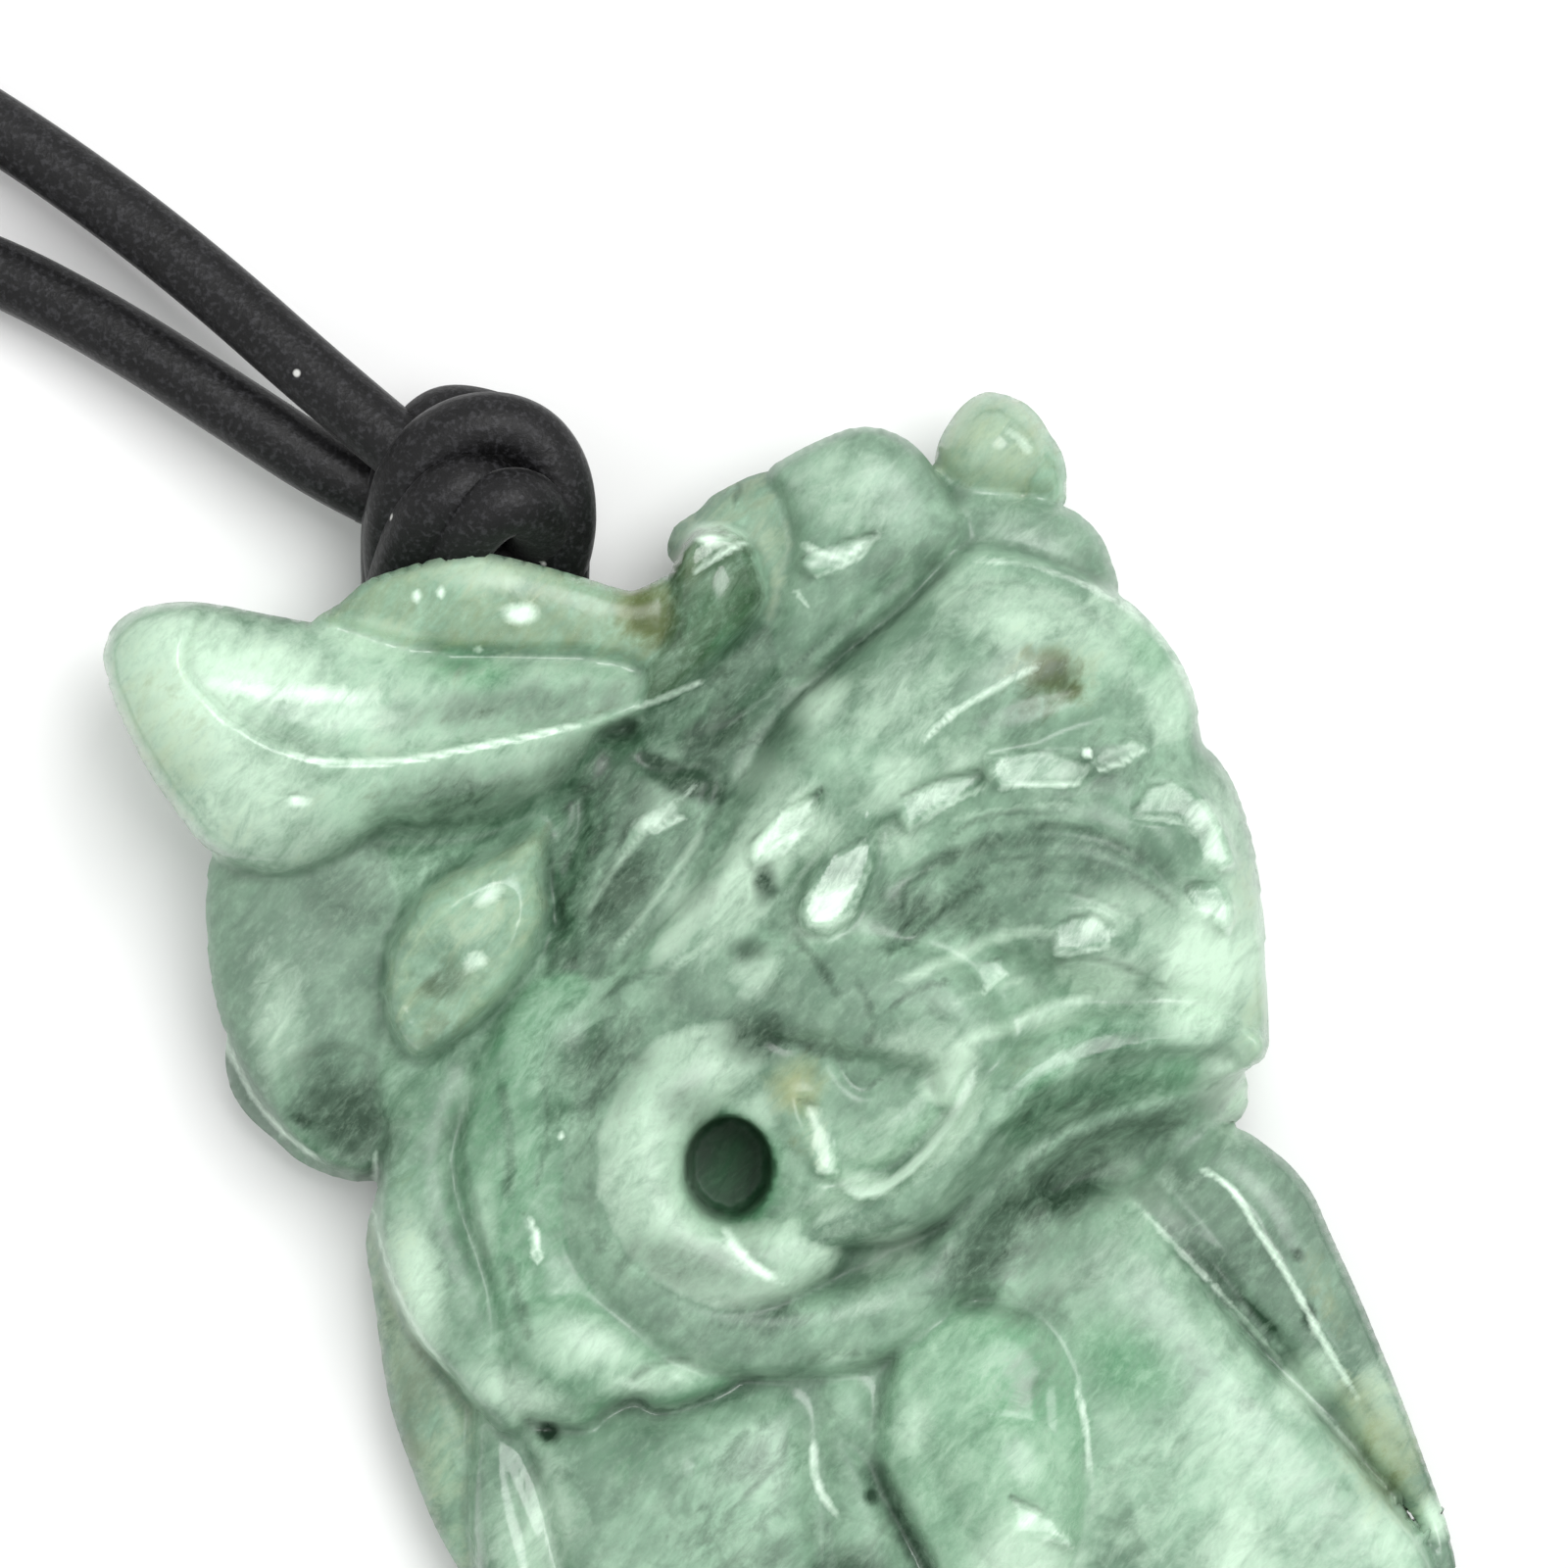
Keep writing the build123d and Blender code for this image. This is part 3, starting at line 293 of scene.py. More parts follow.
# A cut along a line: points, depth (negative stands up), half width
CUTS = [
    ([(5.2, 24.0), (4.4, 23.2), (3.5, 22.2), (2.2, 21.1), (1.5, 20.5), (0.7, 19.8), (0, 19.1), (-1, 17.5),
      (-1.8, 16.2)], 1.1, 0.38),
    ([(4.2, 23.8), (2.5, 22.4), (1.3, 21.4), (0, 20.3), (-0.9, 19.4), (-2.2, 18.4)], 0.5, 0.25),
    ([(7.6, 20.9), (6.5, 20.2), (5.5, 19.6), (4.6, 18.9), (4, 18.3)], -0.14, 0.14),
    ([(-4.6, 17.8), (-3.8, 17.4), (-2.5, 17.5), (-2, 17.1), (-2.2, 16.4), (-1.8, 16.1)], 1.0, 0.3),
    ([(-7, 16.2), (-7.1, 15), (-7, 14), (-6.7, 13), (-6.4, 12.6)], 1.2, 0.3),
    ([(-6.1, 17), (-6, 16), (-6.3, 15), (-6.5, 14)], 0.9, 0.25),
    ([(-12.2, 15.2), (-11, 15.3), (-9.4, 15.4), (-8, 15.9), (-7.2, 16.4)], 0.8, 0.35),
    ([(2.8, 13.7), (3.6, 14.4), (5, 14.9), (6.5, 15.3), (7.5, 15.6), (9, 15.4), (10.5, 14.6), (11.5, 13.7)],
      0.5, 0.3),
    ([(3, 12.2), (3.9, 12.8), (5.3, 13.7), (6.6, 14.2), (8, 14.4), (9.4, 14.0)], 0.42, 0.24),
    ([(4.4, 12.2), (6, 13.1), (7.4, 13.9), (8.6, 13.7), (9.8, 13.3), (11, 12.4), (12.2, 12)], 0.3, 0.22),
    ([(4.2, 16.4), (5.6, 16.6), (7.4, 16.6), (9.2, 16.8), (9.9, 16.3), (10.6, 17.2)], 0.3, 0.24),
    ([(2.7, 16.8), (2.8, 15.4), (2.4, 14.2), (1.9, 13.2), (1.2, 12.5), (0.4, 12.6), (0.0, 13.2)], 0.2, 0.3),
    ([(0.0, 13.4), (0.6, 14.6), (1.2, 15.6), (2.0, 16.7)], 0.2, 0.3),
    ([(-1.6, 12.2), (-1.0, 11.4), (-0.2, 10.8), (0.8, 11.6)], 0.35, 0.2),
    ([(-0.9, 10), (-0.6, 9.7), (0, 9.4), (0.6, 9.6), (1.3, 9.6), (1.5, 8.9), (1.8, 8.4), (2.2, 8.2),
      (2.8, 8.5), (3.6, 8.6)], 0.8, 0.24),
    ([(0.7, 5.7), (1.3, 5.45), (1.6, 5.2), (2.2, 5.15), (2.7, 5.35), (3.2, 5.75), (4, 6.3), (4.6, 7.1),
      (5.0, 7.9), (5.2, 8.7), (5.5, 9.4)], 0.7, 0.26),
    ([(5.5, 9.4), (6.2, 10.1), (7, 10.4), (8, 10.8), (9.4, 11.1), (11, 11.0), (12.6, 10.6), (13.6, 10.2)],
      0.45, 0.24),
    ([(-5.2, 9.2), (-5.5, 8.5), (-5.9, 7.6), (-6.35, 6.3), (-6.5, 4.5), (-6.3, 3.3), (-5.3, 2), (-3.7, 0.6),
      (-2.1, -0.15), (0.1, -0.2)], 0.4, 0.4),
    ([(-5.7, -1.8), (-5.3, -1.3), (-4.5, -0.9), (-3.8, -1.3), (-3, -1.1), (-2, -0.7), (-1, -0.3), (0, -0.2),
      (0.8, 0.2), (1.8, 0.5), (2.9, 0.3)], 0.9, 0.26),
    ([(-5.0, 1.7), (-4.0, 0.95), (-2.4, 0.35), (0, 0.45), (2.5, 1.05), (4, 1.6), (5.2, 2.3)], 0.25, 0.16),
    ([(-4.6, 8.2), (-4.9, 6.6), (-4.9, 5.0), (-4.2, 3.4), (-2.8, 2.2), (-1.2, 1.9), (0.6, 2.2), (2.2, 3.0)],
      0.2, 0.4),
    ([(2.4, 3.5), (3, 3.8), (4, 4.2), (4.8, 4.7), (5.6, 5.3), (6.2, 5.8), (7, 6.4), (8, 6.9), (9.4, 7.4),
      (11, 7.7)], 0.7, 0.4),
    ([(11.5, 4.0), (12.5, 2.9), (13.2, 2.0), (14, 1.0), (15, -0.3), (16, -1.5), (17, -3), (18.6, -4.8)],
      0.9, 0.3),
    ([(11, 6.1), (11.7, 5.7), (12.5, 5.4), (13, 5), (13.5, 4.5), (14, 3.6), (14.5, 2.9), (15.1, 1.7),
      (16.2, 0.2), (16.9, -1.0)], -0.45, 0.3),
    ([(9.9, 5.3), (11, 4.0), (12, 2.8), (13, 1.5), (14, 0.25), (15, -0.8), (16, -1.9), (17, -3.1)], -0.4,
      0.35),
    ([(1.3, -1.9), (2, -2.3), (2.6, -3.3), (3.1, -4.2), (3.6, -5.2), (4.0, -6.2), (4.3, -8)], 0.8, 0.45),
    ([(-8.1, -1.9), (-7.5, -3), (-7.15, -4), (-6.7, -5.9), (-6.0, -8)], 0.6, 0.24),
    ([(-9.2, 8.2), (-9.6, 6.7), (-9.75, 6), (-9.6, 5.1), (-9.4, 4.4), (-8.9, 3), (-8.5, 1.6)], 0.5, 0.24),
    ([(-7.4, 9.6), (-7.9, 7.4), (-8.1, 5.4), (-7.8, 3.6), (-7.2, 2.4)], 0.28, 0.2),
    ([(-6.7, 9.4), (-7.1, 7.6), (-7.3, 5.8), (-7.2, 4.2)], 0.24, 0.18),
    ([(-4.6, 19.0), (-3.8, 19.4), (-3.0, 19.9), (-2.3, 20.6), (-1.5, 21.5), (-0.8, 22.4)], -0.3, 0.2),
    ([(-5.2, 10.9), (-4, 11.6), (-2.8, 12.6), (-1.8, 14.0), (-0.8, 15.4), (0.8, 17.2), (2.6, 19)], -0.35,
      0.4),
    ([(-6.6, 11.4), (-4.6, 12.2), (-3.4, 13.4), (-2.4, 15.0)], 0.5, 0.3),
    ([(-5.0, 14.6), (-3.8, 15.6), (-3.0, 16.4)], 0.4, 0.3),
    ([(0.4, -1.4), (0.6, -3), (0.8, -5.4), (1.3, -8)], 0.5, 0.3),
    ([(3.4, 0.6), (3.7, -0.6), (3.9, -2.2), (4.4, -4.2)], 0.3, 0.3),
    ([(7.4, -0.2), (7.5, -1.6), (7.9, -3.0)], 0.35, 0.22),
    ([(-1.4, 25.9), (-1.35, 25.5), (-1.25, 25.1)], 0.5, 0.1),
]
# The share of each cut's listed depth and half width that is carved
CUT_DEPTH = 0.4
CUT_WIDTH = 0.7
# How dark the painted shade along the bottom of a cut is, for each millimetre of listed depth, and the
# depth that has no such line
CUT_SHADE = 0.42
SHALLOW_CUT = 0.2
# A facet is polished flat, and leans a little towards the light: its outline
FACETS = [
    [(1.3, 15.0), (2.25, 15.5), (2.4, 14.7), (1.85, 13.3), (1.1, 12.75), (0.4, 12.9), (0.35, 13.7),
     (0.85, 14.4)],
    [(-1.1, 15.3), (-0.15, 16.3), (0.95, 16.85), (0.7, 16.0), (-0.15, 15.05), (-1.05, 14.6)],
    [(3.2, 16.6), (4.15, 17.1), (5.55, 17.4), (5.5, 16.85), (4.4, 16.3), (3.4, 15.6)],
    [(5.7, 17.8), (7.3, 18.0), (8.7, 17.6), (8.3, 17.0), (7.0, 17.0), (6.0, 16.9)],
    [(8.8, 17.85), (9.85, 18.35), (10.4, 18.1), (9.6, 17.6), (8.9, 17.4)],
    [(9.9, 16.1), (10.3, 16.95), (11.1, 17.1), (12.0, 16.6), (12.6, 15.6), (12.85, 14.7), (12.4, 14.5),
     (11.75, 15.1), (11.4, 15.9), (10.6, 16.0)],
    [(11.5, 14.1), (12.3, 14.2), (12.8, 13.6), (12.7, 12.7), (12.0, 13.2), (11.4, 13.7)],
    [(7.7, 13.0), (8.7, 13.3), (9.4, 12.85), (9.1, 12.3), (8.1, 12.1), (7.6, 12.1)],
    [(5.4, 11.7), (6.1, 12.0), (6.3, 11.6), (5.6, 11.0)],
    [(0.3, 7.85), (0.85, 7.7), (1.3, 6.4), (1.4, 5.7), (0.75, 5.8), (0.55, 7.0)],
    [(0.3, 23.5), (1.3, 24.0), (2.6, 24.3), (2.1, 23.6), (0.8, 23.0)],
    [(6.4, -3.6), (7.3, -4.0), (8.1, -4.7), (8.2, -5.1), (7.3, -4.8), (6.6, -4.5)],
    [(-4.4, 15.9), (-3.4, 16.6), (-3.0, 16.1), (-3.9, 15.6)],
    [(-3.0, 23.8), (-2.3, 24.25), (-1.2, 24.05), (-1.9, 23.7), (-2.8, 23.1)],
    [(-14.5, 16.7), (-14.1, 16.75), (-14.0, 16.45), (-14.4, 16.35)],
    [(-2.4, 4.0), (-1.7, 3.2), (-0.7, 2.75), (0.0, 2.5), (-0.9, 3.2), (-1.9, 3.9)],
    [(-7.7, 4.5), (-7.4, 4.4), (-7.1, 3.4), (-7.3, 3.1), (-7.6, 3.8)],
]
# How much lower a facet gets to the right and up the stone, for each millimetre
FACET_LEAN = (0.12, 0.145)
# Small round pits: middle, radius, depth
PITS = [(-7.0, -1.9, 0.25, 0.5), (2.4, -3.7, 0.14, 0.3), (-2.7, -2.8, 0.12, 0.25), (-14.2, 7.2, 0.25, 0.3),
        (1.6, 17.6, 0.12, 0.15)]
# The drilled hole of the jaw's hinge: middle and half sizes, and the level of its floor
JAW_HOLE = (-1.75, 5.85, 1.25, 1.45)
JAW_HOLE_FLOOR = 2.4
# The least thickness of the stone between its two sheets
THINNEST = 0.02

# Tints painted in their places: middle, half sizes, turn in degrees, strength
TINTS = {
    "dull": [
        (-1.75, 5.85, 1.4, 1.6, 0, 1.0), (8.0, 4.6, 4.6, 2.2, 20, 1.0), (9.4, 8.2, 3.6, 0.8, 18, 0.8),
        (8.4, 14.4, 3.6, 1.6, 0, 0.8), (9.0, 17.0, 3.0, 1.4, 0, 0.7), (3.4, 11.4, 2.4, 1.0, 0, 0.8),
        (-4.2, 14.6, 2.4, 3.2, 0, 0.7), (11.4, 4.6, 1.4, 0.8, -40, 0.7), (0.0, 1.0, 4.6, 1.0, 8, 0.5),
    ],
    # Painted highlight: spots of reflected lamp light, painted into the colour
    "glint": [
        (-14.2, 16.5, 0.3, 0.14, 0, 0.9), (-10.8, 22.45, 0.13, 0.18, 0, 1.0),
        (-10.1, 22.55, 0.13, 0.18, 0, 1.0), (-7.8, 21.95, 0.5, 0.26, 0, 0.9),
        (-9.0, 20.9, 0.14, 0.1, 0, 0.9), (-8.7, 13.8, 0.5, 0.25, 30, 0.7), (-9.1, 11.9, 0.4, 0.3, 20, 0.6),
        (-6.6, 6.8, 0.12, 0.12, 0, 0.9), (-2.3, 24.1, 0.4, 0.14, 0, 0.9), (-4.0, 15.9, 0.5, 0.25, 30, 0.6),
        (8.6, 17.9, 0.14, 0.14, 0, 0.9), (-4.6, -0.4, 0.5, 0.2, -30, 0.4),
    ],
    # Partly the stone's dark clouds and specks, partly painted shade in creases, recesses and the jaw's hole
    "dark": [
        (-1.75, 5.85, 1.45, 1.7, 0, 0.5), (3.3, 13.4, 1.0, 1.0, 0, 0.75), (5.0, 13.2, 1.1, 0.8, 30, 0.55),
        (-5.4, 16.8, 1.8, 1.5, 0, 0.72), (-4.9, 13.6, 1.3, 1.3, -35, 0.6), (-9.6, 16.4, 2.6, 1.1, 8, 0.6),
        (-12.9, 13.6, 1.3, 1.0, 0, 0.5), (-0.8, 9.7, 1.2, 0.8, -10, 0.8), (-5.7, 9.0, 1.8, 1.6, 30, 0.62),
        (7.3, 7.4, 1.4, 1.0, 30, 0.6), (9.4, 9.2, 1.6, 0.9, 10, 0.55), (7.2, -0.2, 1.0, 1.3, 0, 0.45),
        (2.2, -6.6, 1.8, 1.3, -26, 0.8), (-2.9, 3.2, 2.6, 0.8, -10, 0.5), (-0.6, 1.6, 1.4, 0.7, 10, 0.5),
        (6.8, 19.2, 1.8, 0.9, 20, 0.45), (9.2, 17.4, 1.3, 0.8, 0, 0.55), (-7.4, 19.3, 3.4, 0.7, 6, 0.52),
        (3.6, 23.4, 1.6, 0.7, 20, 0.42), (-3.0, 7.8, 1.0, 1.1, 0, 0.45), (5.9, 3.4, 1.9, 0.9, 25, 0.68),
        (-10.4, 15.4, 1.8, 0.7, 8, 0.5), (-6.6, 7.2, 0.9, 1.4, 0, 0.42), (-0.9, 3.2, 1.0, 0.6, 0, 0.42),
        (7.2, 1.6, 1.2, 0.8, 20, 0.45), (8.6, 7.9, 1.8, 0.8, 25, 0.6), (-1.4, -5.2, 1.8, 1.8, 0, 0.35),
        (-0.9, -2.7, 1.3, 1.1, 0, 0.4), (-2.9, 17.4, 1.2, 0.8, 20, 0.7), (-9.8, 9.4, 0.9, 1.2, 30, 0.4),
        (-9.6, 20.5, 0.7, 0.4, 0, 0.4), (-3.0, 17.1, 1.5, 0.5, -20, 1.0), (-6.5, 14.8, 0.4, 2.0, 0, 0.65),
        (-4.4, 14.2, 1.2, 0.6, 50, 0.55), (-5.5, 12.6, 1.1, 0.5, 50, 0.5), (-9.8, 15.4, 2.8, 0.4, 5, 0.55),
        (-0.7, 14.2, 0.35, 0.6, 0, 0.7), (-1.2, 12.2, 0.6, 0.4, 20, 0.6), (-12.9, 7.2, 1.3, 1.8, 25, 0.8),
        (-14.2, 7.2, 0.4, 0.2, -20, 0.9), (7.6, 5.0, 2.8, 1.0, 28, 0.75), (9.6, 8.2, 2.0, 0.5, 12, 0.5),
        (8.6, 8.8, 1.8, 0.5, 16, 0.25), (7.0, 7.2, 0.9, 0.35, 40, 0.5), (5.6, 3.6, 1.2, 1.4, 20, 0.5),
        (2.2, 4.9, 1.2, 0.5, 10, 0.25), (0.6, 20.1, 2.8, 0.6, 42, 0.35), (-2.2, 18.6, 1.6, 0.8, 30, 0.85),
        (15.1, 1.6, 0.22, 0.35, 0, 1.0), (14.8, 3.3, 0.2, 0.2, 0, 0.9), (12.9, 2.0, 0.25, 0.5, 40, 0.7),
        (-7.0, -1.9, 0.3, 0.3, 0, 1.0), (2.4, -3.7, 0.2, 0.25, 0, 1.0), (-1.2, -0.8, 4.6, 0.3, 6, 0.25),
        (2.8, -4.0, 0.6, 2.2, -26, 0.32), (-11.2, -1.6, 0.7, 2.4, -12, 0.35),
        (8.0, 14.6, 3.2, 0.7, -12, 0.35), (5.6, 14.2, 1.4, 0.5, 20, 0.35), (12.3, 2.9, 1.6, 0.3, -45, 0.6),
        (16.0, -1.8, 2.6, 0.3, -52, 0.5), (-10.0, 11.3, 0.8, 0.7, 40, 0.55), (-7.9, 0.8, 0.5, 1.4, 20, 0.3),
        (-0.5, 17.8, 0.8, 1.8, -40, 0.45), (-1.2, 25.2, 0.8, 0.6, 20, 0.25),
        (8.8, 23.4, 0.9, 0.5, -30, 0.35), (0.6, 9.4, 1.6, 0.3, -10, 0.6), (13.6, 3.4, 0.8, 1.4, -40, 0.35),
        (-2.8, 13.2, 0.5, 2.4, -35, 0.35), (-6.2, 10.4, 0.7, 0.5, 30, 0.35),
        (-1.5, 25.4, 0.09, 0.35, -10, 0.7), (-1.6, 20.6, 0.9, 1.5, -35, 0.5),
        (-4.9, 13.7, 0.8, 2.2, -38, 0.8), (7.7, 20.1, 0.7, 0.7, 0, 0.5), (-5.9, 15.6, 0.5, 1.6, -20, 0.6),
        (-1.2, 23.2, 0.3, 1.4, -8, 0.35), (5.0, 25.4, 0.5, 0.4, 0, 0.4), (-7.6, -3.6, 0.3, 1.8, -16, 0.4),
    ],
    "vivid": [
        (-1.75, 5.7, 1.3, 1.5, 0, 1.0), (9.9, 0.2, 2.0, 1.4, -30, 0.62), (6.0, -1.0, 1.4, 1.4, 0, 0.3),
        (-10.8, 16.4, 2.6, 0.8, 5, 0.45), (7.8, -1.0, 0.8, 1.5, -8, 0.65), (6.6, -0.4, 1.8, 1.6, 0, 0.85),
        (5.4, -2.4, 2.0, 1.2, 0, 0.4), (6.2, 1.0, 1.8, 0.7, -10, 0.7), (10.4, 21.0, 1.0, 0.8, -30, 0.55),
        (9.4, 9.4, 1.8, 0.8, 0, 0.45), (-2.4, 21.8, 1.0, 1.4, -30, 0.55), (-9.3, 20.3, 1.3, 0.6, -8, 0.85),
        (-14.0, 6.0, 1.6, 1.2, 0, 0.4), (-11.4, 12.0, 2.6, 2.0, 0, 0.15), (0.0, -2.0, 5.0, 2.0, 0, 0.2),
        (5.0, -0.8, 1.8, 1.8, 0, 0.3), (-9.6, 3.2, 0.6, 2.4, 8, 0.25), (-4.8, -2.6, 2.6, 1.0, 0, 0.25),
        (10.6, 1.0, 1.8, 1.6, -40, 0.25), (-2.6, 19.0, 1.4, 0.8, 30, 0.5), (7.2, 8.3, 0.8, 0.4, 30, 0.5),
        (-6.6, 12.4, 0.4, 1.8, 0, 0.4), (12.2, 9.6, 1.4, 0.8, 0, 0.25),
    ],
    "tan": [
        (-4.2, 22.0, 0.8, 0.9, 10, 0.9), (-2.9, 23.4, 0.5, 0.8, 0, 0.5), (0.25, 8.3, 0.85, 0.9, -20, 0.75),
        (6.6, 27.0, 1.1, 1.1, 0, 0.35), (-7.8, 22.6, 1.6, 0.5, 0, 0.3), (17.2, -2.2, 1.0, 2.2, 20, 0.6),
        (-18.2, 18.6, 1.6, 2.8, 20, 0.4), (-16.0, 16.4, 1.6, 1.4, 40, 0.2), (7.6, 20.0, 1.4, 1.3, 0, 0.4),
        (13.4, 10.4, 0.7, 1.4, 0, 0.3), (6.6, 9.2, 0.5, 0.8, -30, 0.25), (-11.2, 3.4, 0.5, 3.0, 0, 0.25),
        (-10.6, 10.0, 0.6, 0.8, 30, 0.35), (15.6, 2.2, 0.6, 1.6, 24, 0.35), (13.2, 14.0, 0.6, 2.4, 0, 0.25),
    ],
    "olive": [
        (7.6, 20.2, 0.6, 0.75, 10, 0.95), (8.2, 19.7, 0.3, 0.35, 0, 0.8), (-4.0, 21.9, 0.8, 0.8, 10, 0.95),
        (-2.2, 21.0, 0.8, 1.0, -20, 0.35), (17.6, -3.2, 0.5, 0.9, 20, 0.35), (6.9, 20.8, 0.25, 0.3, 0, 0.6),
        (-10.2, 11.0, 0.4, 0.35, 0, 0.35),
    ],
    # Partly whitish zones of the stone, partly painted highlight on polished flats of the face and mouth
    "pale": [
        (12.0, 11.6, 1.6, 2.0, 0, 0.85), (9.2, 11.4, 1.3, 0.8, 0, 0.7), (10.6, 13.4, 1.6, 0.8, -20, 0.4),
        (13.0, 8.2, 1.1, 1.4, 0, 0.75), (16.8, -2.4, 0.8, 1.4, 30, 0.75), (17.4, -4.6, 1.0, 1.8, 20, 0.6),
        (-10.9, 1.4, 0.7, 1.7, 0, 0.6), (-7.9, -0.7, 1.8, 0.8, -20, 0.6), (3.1, 3.4, 1.0, 0.9, 30, 0.5),
        (10.2, 5.2, 1.6, 0.8, -30, 0.4), (1.1, 13.4, 0.6, 1.1, -30, 0.75), (-2.9, 13.4, 0.8, 1.0, -35, 0.6),
        (0.6, 15.6, 1.0, 0.9, 45, 0.5), (-0.9, 11.4, 0.9, 0.8, 0, 0.5), (5.2, 17.6, 1.0, 0.8, 0, 0.5),
        (9.2, 13.3, 1.0, 0.8, 0, 0.5), (1.2, 4.9, 0.9, 0.9, 0, 0.5), (-8.9, 4.2, 0.5, 1.6, 0, 0.4),
        (-3.9, -0.2, 1.6, 0.6, 10, 0.6), (17.4, -1.0, 0.6, 1.6, 30, 0.6), (11.2, 19.4, 1.0, 1.4, -30, 0.55),
        (7.2, -6.4, 1.2, 1.6, 0, 0.5), (13.0, -5.4, 1.2, 2.2, 0, 0.65), (-12.2, 21.2, 1.8, 0.6, -8, 0.75),
        (-14.8, 10.2, 0.9, 2.2, 0, 0.45), (6.8, 21.8, 3.6, 1.3, -20, 0.5), (3.2, 19.2, 2.2, 1.5, 40, 0.4),
        (3.2, 17.0, 1.5, 1.2, 40, 0.5), (0.9, 19.4, 0.9, 0.8, 45, 0.8), (3.2, 15.5, 0.9, 0.8, 0, 0.5),
        (-0.8, 17.3, 0.9, 0.8, 45, 0.5), (4.2, 9.4, 1.7, 0.9, 0, 0.5), (-0.9, 7.6, 0.9, 0.9, 0, 0.45),
        (-10.9, 2.4, 0.8, 2.2, 10, 0.75), (6.8, -6.0, 1.7, 2.2, 0, 0.8), (3.6, -1.6, 0.9, 1.3, 0, 0.55),
        (15.1, -0.5, 0.8, 1.1, -45, 0.8), (-7.4, -5.0, 1.2, 2.6, -15, 0.5), (-8.9, 23.2, 1.8, 0.7, 0, 0.6),
        (12.6, 15.6, 0.7, 1.8, 0, 0.5), (9.8, 21.2, 1.6, 1.4, -45, 0.4), (0.9, 6.6, 0.45, 1.2, 14, 0.45),
        (-0.1, 8.9, 0.8, 0.5, 0, 0.4), (7.2, 24.8, 1.4, 0.4, -20, 0.2), (-17.4, 19.6, 2.8, 2.8, 0, 0.85),
        (-15.8, 16.8, 2.8, 1.9, 15, 0.65), (-15.4, 20.4, 2.4, 0.9, 0, 0.8), (-12.6, 18.9, 3.2, 0.6, 0, 0.5),
        (-3.6, 7.4, 1.3, 2.2, 20, 0.3), (-10.9, 1.8, 0.8, 2.4, 12, 0.3), (-6.0, 0.7, 2.0, 1.0, -10, 0.55),
        (4.8, 18.6, 2.0, 1.6, 30, 0.15), (9.6, 22.0, 1.6, 0.8, -30, 0.4), (6.4, 22.4, 2.0, 1.0, 0, 0.3),
        (1.8, 25.4, 1.6, 1.6, 0, 0.4), (-9.2, 13.0, 1.4, 1.0, 30, 0.36), (-8.6, 23.2, 1.6, 0.4, 0, 0.45),
        (12.8, -2.8, 3.6, 3.2, -40, 0.35), (5.0, -0.2, 2.0, 1.6, 0, 0.2), (5.6, -3.4, 2.2, 2.0, 0, 0.3),
        (2.0, 5.4, 1.2, 0.35, 0, 0.7), (4.6, 7.0, 0.5, 1.6, -36, 0.7), (7.4, 10.2, 1.6, 0.4, 12, 0.5),
        (-1.0, 14.6, 1.0, 2.6, -30, 0.65), (13.3, 12.4, 1.0, 3.0, 0, 0.7), (-2.0, 24.2, 0.9, 0.4, -10, 0.9),
        (11.2, 5.4, 1.6, 0.4, -20, 0.3), (18.8, -4.4, 0.5, 0.6, 20, 0.9), (-4.0, 16.4, 1.1, 0.8, 20, 0.45),
        (2.0, 1.8, 1.6, 0.3, 14, 0.3), (-14.0, 12.4, 1.4, 2.2, 0, 0.2),
    ],
    "grey": [
        (8.0, 3.2, 1.8, 1.3, 0, 0.5), (15.6, -3.6, 1.2, 2.2, 40, 0.3), (3.4, 20.2, 1.2, 0.6, 45, 0.5),
        (-11.4, 18.9, 0.8, 0.5, 20, 0.75), (-9.6, 19.3, 0.5, 0.6, 0, 0.65),
        (-7.6, 19.5, 0.7, 0.5, 20, 0.65), (-6.2, 19.3, 0.5, 0.4, 0, 0.6), (-14.8, 11.6, 2.6, 4.2, 0, 0.7),
        (-2.2, 1.6, 4.4, 1.5, 0, 0.55), (7.4, 24.4, 2.2, 1.0, -20, 0.6), (1.6, 23.4, 1.8, 2.2, 0, 0.45),
        (14.0, 4.4, 1.6, 2.4, -30, 0.6), (8.4, 14.2, 3.6, 2.6, 0, 0.4), (2.4, 7.8, 1.6, 1.2, 0, 0.4),
        (-11.2, -1.0, 1.0, 4.0, 0, 0.6), (4.4, 3.4, 2.2, 1.6, 0, 0.5), (12.8, 7.8, 0.9, 0.9, 0, 0.9),
        (-3.4, 12.6, 2.4, 2.4, 30, 0.4), (-5.6, 5.0, 1.0, 3.4, 0, 0.3), (6.2, 27.0, 1.6, 1.6, 0, 0.5),
        (16.4, -1.4, 1.0, 3.2, 26, 0.3),
    ],
}
